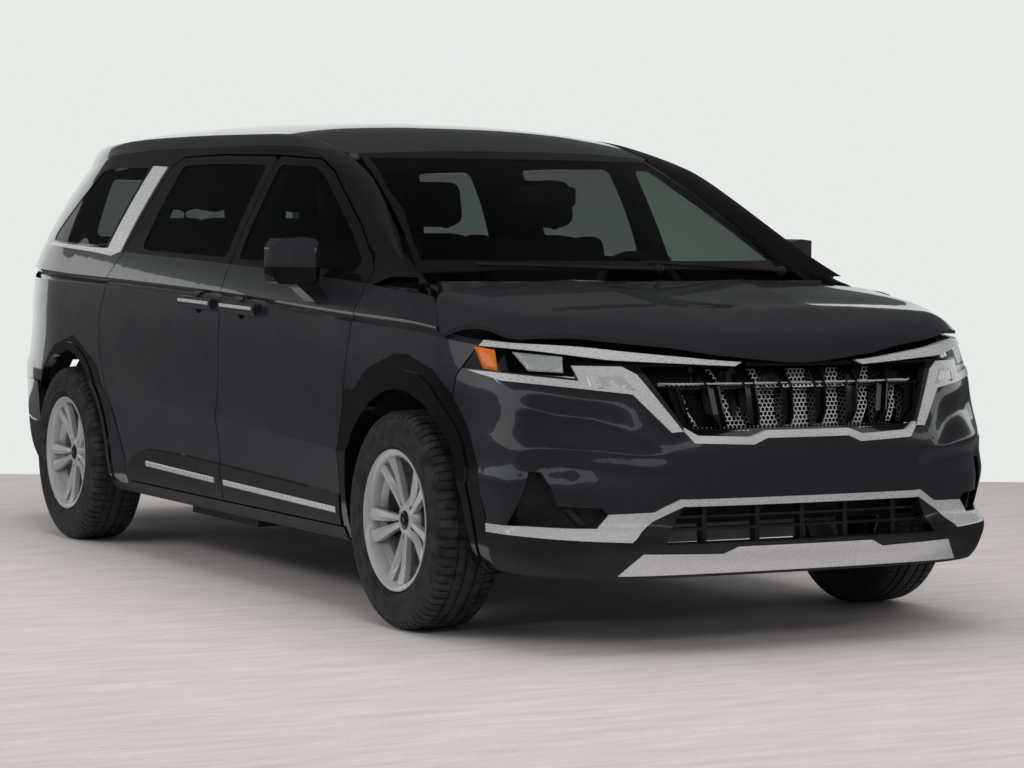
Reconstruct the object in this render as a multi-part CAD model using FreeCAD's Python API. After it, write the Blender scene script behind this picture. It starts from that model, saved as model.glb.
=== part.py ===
"""Full-size minivan, built from separate panels on a hollow body.

Lengths are millimetres. The van faces -Y, its right side is -X, +Z is up.
The origin is on the ground under the middle of the overall box.
Stations along the van are counted from the axles: -1 is the nose, 0 the front
axle, 1 the rear axle and 2 the tail, so every outline follows the wheels.
"""

import FreeCAD, Part
import math
import os

V = FreeCAD.Vector

# Driving sizes of the whole van
wheelbase = 3090.0
front_overhang = 935.0
rear_overhang = 1130.0
body_width = 1990.0
body_height = 1732.0
track = 1746.0
ground_clearance = 172.0

# Wheels and tyres
tyre_radius = 358.0
tyre_width = 235.0
tyre_bead_radius = 222.0
tyre_shoulder = 28.0
rim_flange_radius = 232.0
flange_flare = 6.2
rim_well_radius = 196.0
rim_barrel_wall = 8.0
rim_width = 190.0
spoke_pairs = 5
spoke_width = 34.0
spoke_depth = 26.0
hub_cap_radius = 30.0
hub_radius = 72.0
hub_bore_radius = 33.5
disc_radius = 150.0
disc_thickness = 26.0

# Walls, glass and gaps
skin_depth = 24.0
door_depth = 112.0
glass_thickness = 5.0
glass_inset = 3.0
panel_gap = 6.0
layer_gap = 6.0
door_flange = 30.0
roof_thickness = 24.0
bonnet_thickness = 24.0
bumper_thickness = 30.0
tailgate_thickness = 70.0
floor_thickness = 30.0
arch_gap = 67.0
arch_trim_proud = 7.0
arch_trim_depth = 27.0
arch_band = 34.0
arch_corner = 24.0
cutter_reach = 400.0

trim_fit = 0.5
seal_fit = 0.3

length = front_overhang + wheelbase + rear_overhang
half_length = length / 2
half_width = body_width / 2
front_axle_y = front_overhang - half_length
rear_axle_y = front_axle_y + wheelbase
hub_z = tyre_radius
arch_radius = tyre_radius + arch_gap


def Y(station):
    """Place along the van of a station counted in spans between the axles."""
    if station < 0:
        return front_axle_y + station * front_overhang
    if station > 1:
        return rear_axle_y + (station - 1) * rear_overhang
    return front_axle_y + station * wheelbase


def station_of(y):
    """The station of a place along the van."""
    if y < front_axle_y:
        return (y - front_axle_y) / front_overhang
    if y > rear_axle_y:
        return 1 + (y - rear_axle_y) / rear_overhang
    return (y - front_axle_y) / wheelbase


def X(share):
    return share * half_width


def Z(share):
    return share * body_height


def smooth(shares):
    """A smooth curve through a short table of (station, share), straight past its ends."""
    def slope(i):
        a = max(i - 1, 0)
        b = min(i + 1, len(shares) - 1)
        return (shares[b][1] - shares[a][1]) / (shares[b][0] - shares[a][0])

    def value(s):
        if s <= shares[0][0]:
            return shares[0][1] + slope(0) * (s - shares[0][0])
        if s >= shares[-1][0]:
            return shares[-1][1] + slope(len(shares) - 1) * (s - shares[-1][0])
        i = max(k for k in range(len(shares) - 1) if shares[k][0] <= s)
        (s0, v0), (s1, v1) = shares[i], shares[i + 1]
        h = s1 - s0
        t = (s - s0) / h
        return ((2 * t ** 3 - 3 * t ** 2 + 1) * v0 + (t ** 3 - 2 * t ** 2 + t) * h * slope(i)
                + (3 * t ** 2 - 2 * t ** 3) * v1 + (t ** 3 - t ** 2) * h * slope(i + 1))
    return value


# Surfaces from poles


def face_of(rows):
    """A smooth face whose control points are the rows of points."""
    nu, nv = len(rows), len(rows[0])
    du, dv = min(3, nu - 1), min(3, nv - 1)

    def knots(n, d):
        inner = n - d
        return list(range(inner + 1)), [d + 1] + [1] * (inner - 1) + [d + 1]
    uk, um = knots(nu, du)
    vk, vm = knots(nv, dv)
    surface = Part.BSplineSurface()
    surface.buildFromPolesMultsKnots(rows, um, vm, [float(k) for k in uk],
                                     [float(k) for k in vk], False, False, du, dv)
    return surface.toShape()


def solid_of(faces):
    """The solid that a closed set of faces bounds."""
    shell = Part.makeShell(faces)
    shell.sewShape()
    solid = Part.makeSolid(shell)
    if solid.Volume < 0:
        solid.reverse()
    return solid


def thick(outer, inner):
    """A wall between strips of outer poles and the matching strips of inner poles.

    Each strip is a list of rows, and neighbouring strips share a row.
    """
    faces = []
    for out, inn in zip(outer, inner):
        faces.append(face_of(out))
        faces.append(face_of(inn))
        first = [[row[0] for row in out], [row[0] for row in inn]]
        last = [[row[-1] for row in out], [row[-1] for row in inn]]
        faces.append(face_of(first))
        faces.append(face_of(last))
    faces.append(face_of([outer[0][0], inner[0][0]]))
    faces.append(face_of([outer[-1][-1], inner[-1][-1]]))
    return solid_of(faces)


def rounded(points, radii):
    """A closed flat wire through points, each corner rounded by its radius."""
    n = len(points)
    if not isinstance(radii, (list, tuple)):
        radii = [radii] * n
    edges, starts, ends, arcs = [], [], [], []
    for i in range(n):
        p, a, b = points[i], points[i - 1], points[(i + 1) % n]
        u, w = (a - p), (b - p)
        lu, lw = u.Length, w.Length
        u.normalize()
        w.normalize()
        turn = math.pi - u.getAngle(w)
        r = radii[i]
        reach = r * math.tan(turn / 2)
        limit = 0.49 * min(lu, lw)
        if reach > limit:
            r *= limit / reach
            reach = limit
        if r <= 0 or turn < math.radians(1):
            starts.append(p)
            ends.append(p)
            arcs.append(None)
            continue
        t0, t1 = p + u * reach, p + w * reach
        bisector = (u + w)
        bisector.normalize()
        centre = p + bisector * (r / math.cos(turn / 2))
        middle = centre - bisector * r
        starts.append(t0)
        ends.append(t1)
        arcs.append(Part.Arc(t0, middle, t1).toShape())
    for i in range(n):
        if arcs[i] is not None:
            edges.append(arcs[i])
        a, b = ends[i], starts[(i + 1) % n]
        if (b - a).Length > 1e-6:
            edges.append(Part.LineSegment(a, b).toShape())
    return Part.Wire(edges)


def prism(points, radii, along):
    """A solid pushed from a flat rounded outline."""
    return Part.Face(rounded(points, radii)).extrude(along)


def side_prism(outline, radii, x0, x1):
    """A cutter along X over an outline of (y, z)."""
    return prism([V(x0, y, z) for y, z in outline], radii, V(x1 - x0, 0, 0))


def front_prism(outline, radii, y0, y1):
    """A cutter along Y over an outline of (x, z)."""
    return prism([V(x, y0, z) for x, z in outline], radii, V(0, y1 - y0, 0))


def top_prism(outline, radii, z0, z1):
    """A cutter along Z over an outline of (x, y)."""
    return prism([V(x, y, z0) for x, y in outline], radii, V(0, 0, z1 - z0))


def box(x0, x1, y0, y1, z0, z1):
    return Part.makeBox(x1 - x0, y1 - y0, z1 - z0, V(x0, y0, z0))


def grown(outline, by):
    """An outline of pairs moved outwards by a distance, for corners that turn either way."""
    n = len(outline)
    area = sum(outline[i - 1][0] * outline[i][1] - outline[i][0] * outline[i - 1][1] for i in range(n))
    sign = 1 if area > 0 else -1
    moved = []
    for i in range(n):
        p, a, b = outline[i], outline[i - 1], outline[(i + 1) % n]
        e1 = (p[0] - a[0], p[1] - a[1])
        e2 = (b[0] - p[0], b[1] - p[1])
        l1, l2 = math.hypot(*e1), math.hypot(*e2)
        n1 = (sign * e1[1] / l1, -sign * e1[0] / l1)
        n2 = (sign * e2[1] / l2, -sign * e2[0] / l2)
        k = 1 + n1[0] * n2[0] + n1[1] * n2[1]
        k = max(k, 0.3)
        moved.append((p[0] + by * (n1[0] + n2[0]) / k, p[1] + by * (n1[1] + n2[1]) / k))
    return moved


def mirrored(shape):
    return shape.mirror(V(0, 0, 0), V(1, 0, 0))


def fuse(shapes):
    whole = shapes[0]
    for s in shapes[1:]:
        whole = whole.fuse(s)
    return whole.removeSplitter()


nodes = {}


def keep(name, *shapes):
    """Files a node's solids under its name."""
    solids = [s for shape in shapes for s in shape.Solids]
    nodes[name] = solids


# Shape of the body, as shares of its height and half width along the stations

side_start_share = -0.3
side_end_share = 1.05
nose_plan_shares = [(0, 0, 1), (0.096, 0.194, 0.972), (0.246, 0.500, 0.936), (0.332, 0.653, 0.874),
                    (0.423, 0.790, 0.786), (0.522, 0.882, 0.662), (0.657, 0.957, 0.480),
                    (0.853, 0.992, 0.207), (1, 1, 0)]
tail_plan_shares = [(0, 0, 1), (0.112, 0.183, 0.995), (0.209, 0.341, 0.979), (0.285, 0.462, 0.951),
                    (0.391, 0.630, 0.900), (0.466, 0.742, 0.849), (0.538, 0.844, 0.783),
                    (0.613, 0.924, 0.682), (0.726, 0.975, 0.488), (0.863, 0.995, 0.244), (1, 1, 0)]
nose_side_shares = [(0.135, -0.950), (0.165, -0.965), (0.190, -0.998), (0.23, -1.0), (0.30, -1.001),
                    (0.385, -1.0), (0.42, -0.990), (0.47, -0.972), (0.523, -0.949), (0.556, -0.903),
                    (0.573, -0.869)]
tail_side_shares = [(0.135, 1.930), (0.17, 1.970), (0.22, 1.995), (0.28, 2.0), (0.37, 1.998),
                    (0.5, 1.978), (0.63, 1.965), (0.72, 1.925), (0.82, 1.885), (0.90, 1.840),
                    (0.93, 1.815), (0.96, 1.740)]
nose_along = smooth([(u, p) for u, p, q in nose_plan_shares])
nose_across = smooth([(u, q) for u, p, q in nose_plan_shares])
tail_along = smooth([(u, p) for u, p, q in tail_plan_shares])
tail_across = smooth([(u, q) for u, p, q in tail_plan_shares])
nose_taper = smooth([(0.135, 0.62), (0.20, 0.72), (0.28, 0.90), (0.34, 1.0), (0.37, 1.06), (0.40, 1.22),
                     (0.44, 1.40), (0.48, 1.56), (0.52, 1.76), (0.556, 1.95), (0.60, 2.0)])
tail_taper = smooth([(0.135, 0.95), (0.20, 0.85), (0.27, 0.74), (0.34, 0.76), (0.40, 0.88), (0.46, 1.0),
                     (0.6, 1.0), (1, 1.0)])
nose_profile = smooth(nose_side_shares)
tail_profile = smooth(tail_side_shares)

ridge_z = smooth([(-1, 0.300), (-0.3, 0.300), (0.15, 0.322), (0.5, 0.350), (0.8, 0.377), (1.1, 0.395), (2, 0.400)])
crease_z = smooth([(-1, 0.5225), (-0.917, 0.5385), (-0.79, 0.553), (-0.475, 0.561), (-0.25, 0.574),
                   (0.125, 0.590), (0.455, 0.613), (0.85, 0.630), (1.3, 0.640), (2, 0.648)])
belt_z = smooth([(-0.3, 0.604), (0, 0.634), (0.388, 0.664), (0.833, 0.687), (1.36, 0.704), (2, 0.712)])
rail_z = smooth([(0, 0.648), (0.064, 0.672), (0.2, 0.788), (0.328, 0.893), (0.40, 0.911), (0.483, 0.918),
                 (0.66, 0.921), (0.985, 0.917), (1.31, 0.906), (1.55, 0.896), (2, 0.880)])

crease_x = smooth([(-0.3, 0.954), (0, 0.960), (0.15, 0.966), (0.5, 0.974), (0.85, 0.972), (1.05, 0.966)])
ridge_x = smooth([(-0.3, 0.972), (0, 0.984), (0.15, 0.986), (0.5, 0.993), (0.85, 0.993), (1.05, 0.988)])
belt_x = smooth([(-0.3, 0.890), (0.0666, 0.922), (0.388, 0.934), (0.7, 0.934), (0.9, 0.930), (1.05, 0.920)])
rail_x = smooth([(0, 0.850), (0.064, 0.838), (0.2, 0.785), (0.34, 0.728), (0.483, 0.724), (0.66, 0.726),
                 (0.82, 0.724), (1.05, 0.714)])

crown_z = smooth([(0.014, 0.664), (0.12, 0.760), (0.22, 0.845), (0.322, 0.917), (0.38, 0.946), (0.44, 0.965),
                  (0.52, 0.979), (0.63, 0.987), (0.8, 0.992), (1.0, 0.991), (1.2, 0.987), (1.4, 0.980), (1.7, 0.964)])
crown_drop = smooth([(0.014, 0.010), (0.322, 0.010), (0.44, 0.018), (0.6, 0.031), (1.0, 0.036), (1.7, 0.042)])
ditch_x = smooth([(0.02, 0.800), (0.0843, 0.774), (0.2, 0.694), (0.3254, 0.612), (0.38, 0.630), (0.44, 0.650),
                  (0.6, 0.656), (1.0, 0.655), (1.05, 0.654)])
bow_share = smooth([(0, 0.118), (0.35, 0.110), (0.42, 0.080), (0.6, 0.010), (0.8, 0), (1.3, 0), (1.7, -0.03)])
crown_power_share = 2.6


def top_z(x, y):
    """Height of the windscreen and the roof at a place."""
    s = station_of(y)
    across = abs(x) / half_width
    s -= bow_share(s) * across ** 2
    t = across / ditch_x(min(s, side_end_share))
    return Z(crown_z(s) - crown_drop(s) * t ** crown_power_share)


def plus(f, d):
    return lambda s: f(s) + d


def between(f, g, t):
    return lambda s: f(s) * (1 - t) + g(s) * t


def flat(v):
    return lambda s: v


# A line along the side: height, half width, share of the full depth, and lean of the wall in degrees
sill_lines = [(flat(0.138), plus(ridge_x, -0.085), 1, 0),
              (flat(0.150), plus(ridge_x, -0.055), 1, 0),
              (flat(0.185), plus(ridge_x, -0.035), 1, 0),
              (flat(0.235), plus(ridge_x, -0.025), 1, 0),
              (plus(ridge_z, -0.035), plus(ridge_x, -0.012), 1, 0),
              (ridge_z, ridge_x, 1, 0)]
flank_lines = [sill_lines[-1],
               (plus(ridge_z, 0.030), plus(ridge_x, -0.008), 1, 0),
               (between(ridge_z, crease_z, 0.35), plus(ridge_x, -0.013), 1, 0),
               (between(ridge_z, crease_z, 0.65), between(ridge_x, crease_x, 0.55), 1, 0),
               (plus(crease_z, -0.055), plus(crease_x, 0.003), 1, 0),
               (plus(crease_z, -0.018), plus(crease_x, -0.001), 1, 0)]
groove_lines = [flank_lines[-1],
                (plus(crease_z, -0.010), plus(crease_x, -0.012), 1, 0)]
lip_lines = [groove_lines[-1],
             (crease_z, crease_x, 1, 0)]
shoulder_lines = [lip_lines[-1],
                  (between(crease_z, belt_z, 0.3), between(crease_x, belt_x, 0.22), 1, 0),
                  (between(crease_z, belt_z, 0.7), between(crease_x, belt_x, 0.62), 0.85, 0),
                  (belt_z, belt_x, 0.7, 0)]
window_lines = [shoulder_lines[-1],
                (between(belt_z, rail_z, 0.33), between(belt_x, rail_x, 0.27), 0.45, 0),
                (between(belt_z, rail_z, 0.67), between(belt_x, rail_x, 0.60), 0.42, 10),
                (rail_z, rail_x, 0.42, 30)]
ditch_line = ("ditch", ditch_x, 0.36, 90)
cant_lines = [window_lines[-1],
              ("cant", between(rail_x, ditch_x, 0.35), 0.42, 50),
              ("cant", between(rail_x, ditch_x, 0.70), 0.40, 72),
              ditch_line]
cant_bulge_share = 0.010


blunt_share = 0.35


def narrowed(across, taper):
    """A place across the end, drawn in towards the middle as the end tapers, and blunt in the middle."""
    across = max(across, 0)
    blunt = (across ** 4 + blunt_share ** 4) / (1 + blunt_share ** 4)
    return across * blunt ** ((taper - 1) / 4)


def plan_point(line, way, z_share):
    """Place across and along the van of a line at a way round the left side.

    The way runs -1 to 0 round the nose, 0 to 1 along the side and 1 to 2 round the tail.
    """
    x_share = line[1]
    if way < 0:
        y0, a, u = Y(side_start_share), X(x_share(side_start_share)), -way
        return a * narrowed(nose_across(u), nose_taper(z_share)), y0 + (Y(nose_profile(z_share)) - y0) * nose_along(u)
    if way > 1:
        y0, a, u = Y(side_end_share), X(x_share(side_end_share)), way - 1
        return a * narrowed(tail_across(u), tail_taper(z_share)), y0 + (Y(tail_profile(z_share)) - y0) * tail_along(u)
    s = side_start_share + (side_end_share - side_start_share) * way
    return X(x_share(s)), Y(s)


def nominal_station(way):
    """The station that a line's height is read at."""
    if way < 0:
        return side_start_share - (1 + side_start_share) * nose_along(-way)
    if way > 1:
        return side_end_share + (2 - side_end_share) * tail_along(way - 1)
    return side_start_share + (side_end_share - side_start_share) * way


def side_point(line, way, depth=0.0):
    """A point of the left side on a line, moved into the wall by a depth."""
    z_of, x_of, deep, lean = line
    s = nominal_station(way)
    if z_of == "ditch":
        z_share = crown_z(s) - crown_drop(s)
    elif z_of == "cant":
        z_share = rail_z(s)
    else:
        z_share = z_of(s)
    x, y = plan_point(line, way, z_share)
    if z_of == "ditch":
        z = top_z(x, y)
    elif z_of == "cant":
        t = (rail_x(min(s, side_end_share)) - x_of(min(s, side_end_share)))
        t /= (rail_x(min(s, side_end_share)) - ditch_x(min(s, side_end_share)))
        end = side_point(ditch_line, way).z
        z = Z(rail_z(s)) * (1 - t) + end * t + Z(cant_bulge_share) * math.sin(math.pi * t)
    else:
        z = Z(z_share)
    if depth == 0:
        return V(x, y, z)
    step = 0.002
    x0, y0 = plan_point(line, max(way - step, -1), z_share)
    x1, y1 = plan_point(line, min(way + step, 2), z_share)
    out = V(y1 - y0, x0 - x1, 0)
    out.normalize()
    c, d = math.cos(math.radians(lean)), math.sin(math.radians(lean))
    return V(x, y, z) - (out * c + V(0, 0, d)) * depth


def side_wall(strips, ways, near, far):
    """A wall of the left side over some strips of lines, between two depths.

    A far depth of "full" is the whole depth of a door at each line.
    """
    def depth(line, d):
        return door_depth * line[2] if d == "full" else d
    outer = [[[side_point(line, w, depth(line, near)) for w in ways] for line in strip] for strip in strips]
    inner = [[[side_point(line, w, depth(line, far)) for w in ways] for line in strip] for strip in strips]
    return thick(outer, inner)


def round_wall(strips, ways, near, far):
    """The same wall on both sides, joined over the middle of the nose or the tail."""
    def both(points):
        middle = 0 if ways[0] == -1 else -1
        points[middle].x = 0
        other = [V(-p.x, p.y, p.z) for p in points[::-1]]
        return other + points[1:] if middle == 0 else points + other[1:]

    def rows(d):
        return [[both([side_point(line, w, door_depth * line[2] if d == "full" else d) for w in ways])
                 for line in strip] for strip in strips]
    return thick(rows(near), rows(far))


lower_strips = [sill_lines, flank_lines, groove_lines, lip_lines, shoulder_lines]
door_strips = lower_strips + [window_lines]
side_strips = door_strips + [cant_lines]
way_grid = 20


def ways(w0, w1):
    """Evenly spaced ways round the side, on one grid for every wall."""
    return [k / way_grid for k in range(round(w0 * way_grid), round(w1 * way_grid) + 1)]


def share_points(outline):
    """An outline of (station, height share) in real lengths."""
    return [(Y(s), Z(z)) for s, z in outline]


def front_points(outline):
    """An outline of (half width share, height share) in real lengths."""
    return [(X(x), Z(z)) for x, z in outline]


def both_sides(outline):
    """A right-hand half outline closed by its mirror image."""
    return outline + [(-x, z) for x, z in outline[::-1]]


def side_cut(points, radius=0.0):
    """A cutter over the left side from outlines of (y, z)."""
    return side_prism(points, radius, 0, half_width + cutter_reach)


def wheel_well(y, radius):
    """A cylinder across one side of the van at an axle."""
    return Part.makeCylinder(radius, half_width, V(half_width / 2, y, hub_z), V(1, 0, 0))


# Outlines on the side of the body, in stations and height shares

front_door_shares = [(0.156, 0.171), (0.154, 0.203), (0.1338, 0.470), (0.125, 0.560), (0.112, 0.626), (0.118, 0.672),
                     (0.200, 0.760), (0.315, 0.866), (0.360, 0.892), (0.4790, 0.902), (0.4790, 0.171)]
front_window_shares = [(0.128, 0.664), (0.210, 0.748), (0.325, 0.853), (0.362, 0.876), (0.462, 0.884),
                       (0.462, 0.684), (0.3, 0.675)]
sliding_door_shares = [(0.4810, 0.171), (0.4810, 0.902), (0.660, 0.908), (0.775, 0.905), (0.803, 0.885),
                       (0.8306, 0.687), (0.858, 0.630), (0.8787, 0.542), (0.876, 0.462), (0.853, 0.395),
                       (0.8245, 0.318), (0.797, 0.226), (0.780, 0.171)]
sliding_window_shares = [(0.500, 0.686), (0.500, 0.885), (0.66, 0.889), (0.762, 0.887), (0.775, 0.700),
                         (0.745, 0.695)]
quarter_window_shares = [(0.905, 0.694), (0.882, 0.886), (1.02, 0.886), (1.17, 0.880), (1.375, 0.714),
                         (1.2, 0.708), (0.943, 0.704)]
pillar_trim_shares = [(0.843, 0.690), (0.817, 0.886), (0.870, 0.889), (0.893, 0.697), (0.955, 0.698),
                      (1.36, 0.7085), (1.36, 0.700), (0.95, 0.688), (0.87, 0.680)]
front_arch_shares = [(0.1336, 0.4434), (0.1140, 0.4379), (0.0763, 0.4862), (0.0156, 0.5181), (-0.0502, 0.5187),
                     (-0.2426, 0.4940), (-0.3392, 0.4576), (-0.4360, 0.3909), (-0.5122, 0.3205),
                     (-0.5360, 0.2500), (-0.5405, 0.1800), (-0.5405, 0.050), (0.1510, 0.050), (0.1510, 0.203)]
front_bead_shares = [(0.1218, 0.050), (0.1218, 0.3043), (0.1034, 0.3845), (0.0762, 0.433), (0.0445, 0.4648),
                     (0.0131, 0.4833), (-0.036, 0.4896), (-0.13, 0.4844), (-0.224, 0.4665), (-0.29, 0.440),
                     (-0.362, 0.405), (-0.412, 0.370), (-0.448, 0.327), (-0.470, 0.200), (-0.470, 0.050)]
front_opening_shares = [(-0.423, 0.030), (-0.423, 0.178), (-0.422, 0.262), (-0.398, 0.316), (-0.335, 0.374),
                        (-0.227, 0.4190), (0, 0.4521), (0.0687, 0.4190), (0.119, 0.329), (0.1375, 0.2067),
                        (0.1375, 0.030)]
handle_shares = [(0.3632, 0.5687), (0.4640, 0.5705), (0.4668, 0.5965), (0.3610, 0.5930)]
slide_handle_shares = [(0.4927, 0.5745), (0.5910, 0.5752), (0.5947, 0.6010), (0.4905, 0.5985)]
rear_arch_shares = [(0.8017, 0.226), (0.8306, 0.326), (0.8853, 0.4255), (0.98, 0.489), (1.158, 0.4596),
                    (1.29, 0.3707), (1.380, 0.244), (1.39, 0.160), (0.80, 0.160)]
sill_trim_shares = [(0.13, 0.150), (0.135, 0.1675), (0.4, 0.1675), (0.793, 0.1675), (0.800, 0.150)]
cladding_shares = [(0.11, 0.100), (0.11, 0.229), (0.300, 0.240), (0.600, 0.2525), (0.714, 0.2505), (0.7428, 0.2425),
                   (0.776, 0.219), (0.80, 0.19), (0.80, 0.100)]
bumper_cut_shares = [(-0.452, 0.700), (-0.452, 0.552), (-0.365, 0.490), (-0.30, 0.300), (-0.30, 0.050)]
bonnet_cut_shares = [(-0.2465, 0.5745), (0.000, 0.6550)]
rear_bumper_top_share = 0.370
tailgate_half_share = 0.640
tailgate_low_share = 0.380
tailgate_hinge_station_share = 1.63


def arch_cut(shares, by):
    """A cutter for a wheel arch moulding, larger than it by a distance."""
    return side_cut(grown(share_points(shares), by), arch_corner)


def front_door_outline():
    return share_points(front_door_shares)


def sliding_door_outline():
    return share_points(sliding_door_shares)


corner_radius = 30.0
window_radius = 26.0


handle_reach = 28.0
handle_lip = 8.0
pocket_radius = 40.0


def handle(shares):
    """A pull handle's grip from its outline, and the hollow behind it."""
    outline = share_points(shares)
    (y0, z0), (y1, z1) = outline[0], outline[2]
    middle, rise_up = (y0 + y1) / 2, (z1 - z0) / 3
    x = X(crease_x(station_of(middle)))
    section = [(x - handle_lip, z0 + rise_up), (x + handle_reach * 2 / 3, z0), (x + handle_reach, z0 + rise_up),
               (x + handle_reach, z1 - rise_up), (x + handle_reach * 2 / 3, z1), (x - handle_lip, z1)]
    grip = front_prism(section, 0, y0 - pocket_radius, y1 + pocket_radius)
    grip = grip.common(side_prism(outline, handle_lip, 0, half_width * 2))
    hollow = Part.makeCylinder(pocket_radius, half_width, V(x - handle_lip * 2, middle, (z0 + z1) / 2), V(1, 0, 0))
    under = box(0, half_width * 2, y0 + pocket_radius, y1 - pocket_radius, 0, body_height)
    return grip.cut(hollow.common(box(0, x + handle_lip, y0, y1, 0, body_height)).common(under)), hollow


def door_shell(outline, window, w0, w1, handle_outline):
    """A door's skin, its inner box behind the flange, its lower cladding, handle and window opening."""
    skin = side_wall(door_strips, ways(w0, w1), 0, skin_depth)
    inner = side_wall(door_strips, ways(w0, w1), skin_depth, "full")
    cladding = side_wall([sill_lines, flank_lines], ways(w0, w1), -arch_trim_proud, skin_depth / 2)
    cladding = cladding.common(side_cut(outline)).common(side_cut(share_points(cladding_shares), corner_radius))
    shell = skin.common(side_cut(outline, corner_radius))
    boxed = inner.common(side_cut(grown(outline, -door_flange), corner_radius))
    grip, hollow = handle(handle_outline)
    door = fuse([shell, boxed, cladding]).cut(hollow).fuse(grip)
    return door.cut(side_cut(window, window_radius))


def cut_glass(window, w0, w1):
    """A pane that sits in a window opening."""
    pane = side_wall([shoulder_lines, window_lines], ways(w0, w1), glass_inset, glass_inset + glass_thickness)
    return pane.common(side_cut(grown(window, -trim_fit), window_radius))


door_corner_shares = [(0.0, 0.600), (0.0, 0.800), (0.168, 0.800), (0.168, 0.600)]


def front_doors():
    """The front doors, with a thin skin alone in the corner ahead of the hinge line, so that it can swing in."""
    door = door_shell(front_door_outline(), share_points(front_window_shares), 0.25, 0.65, handle_shares)
    corner = side_wall(door_strips, ways(0.25, 0.65), skin_depth, "full")
    door = door.cut(corner.common(side_cut(share_points(door_corner_shares))))
    door = door.cut(arch_cut(front_arch_shares, layer_gap))
    door = max(door.Solids, key=lambda s: s.Volume)
    pane = cut_glass(share_points(front_window_shares), 0.25, 0.65)
    keep("front_door_left", door)
    keep("front_door_right", mirrored(door))
    keep("front_door_left_glass", pane)
    keep("front_door_right_glass", mirrored(pane))


def sliding_doors():
    door = door_shell(sliding_door_outline(), share_points(sliding_window_shares), 0.5, 0.95, slide_handle_shares)
    door = door.cut(arch_cut(rear_arch_shares, trim_fit))
    door = max(door.Solids, key=lambda s: s.Volume)
    keep("sliding_door_left", door)
    keep("sliding_door_right", mirrored(door))


def rear_side_glass():
    panes = [cut_glass(share_points(sliding_window_shares), 0.5, 0.95),
             cut_glass(share_points(quarter_window_shares), 0.8, 1.5)]
    keep("rear_side_glass", *(panes + [mirrored(p) for p in panes]))


def rear_bumper_cut():
    """The region of the rear bumper behind the rear wheel arch."""
    return side_prism([(Y(1.30), 0), (Y(1.30), Z(rear_bumper_top_share)), (Y(2.1), Z(rear_bumper_top_share)),
                       (Y(2.1), 0)], 0, -half_width, half_width + cutter_reach)


def tailgate_outline(by=0.0):
    """The tailgate's outline seen from behind."""
    half = [(tailgate_half_share, tailgate_low_share), (tailgate_half_share, 0.65),
            (tailgate_half_share - 0.02, 0.80), (tailgate_half_share - 0.06, 1.1)]
    return grown([(X(x), Z(z)) for x, z in half] + [(-X(x), Z(z)) for x, z in half[::-1]], by)


def tailgate_region(by=0.0):
    """The space that the tailgate fills behind its hinge line."""
    y0 = Y(tailgate_hinge_station_share) - by
    return front_prism(tailgate_outline(by), 0, y0, half_length + cutter_reach)


load_floor_station_share = 0.80
door_hinge_y_share = 0.1513
door_hinge_x = 975.0
swing_radius = 132.0
swing_corner_radius = 174.0
swing_low_share = 0.18
swing_high_share = 0.72


def door_swing(radius):
    """The space that the front door's leading edge swings through behind the fender."""
    return Part.makeCylinder(radius, Z(swing_high_share) - Z(swing_low_share),
                             V(door_hinge_x, Y(door_hinge_y_share), Z(swing_low_share)))


tail_lamp_shares = [(1.545, 0.6340), (1.545, 0.6600), (1.500, 0.6900), (1.450, 0.7060), (1.60, 0.7180), (2.1, 0.7180),
                    (2.1, 0.6340)]
track_shares = [(0.86, 0.6120), (0.86, 0.6250), (1.545, 0.6330), (1.545, 0.6190)]
track_depth = 14.0
track_wall = 6.0
lamp_depth = 30.0


def track_zone():
    """The outer layer of the side that the sliding door's track is sunk into."""
    return side_wall([flank_lines, groove_lines, lip_lines], ways(0.75, 1.5), -skin_depth, track_depth + trim_fit)


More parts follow.
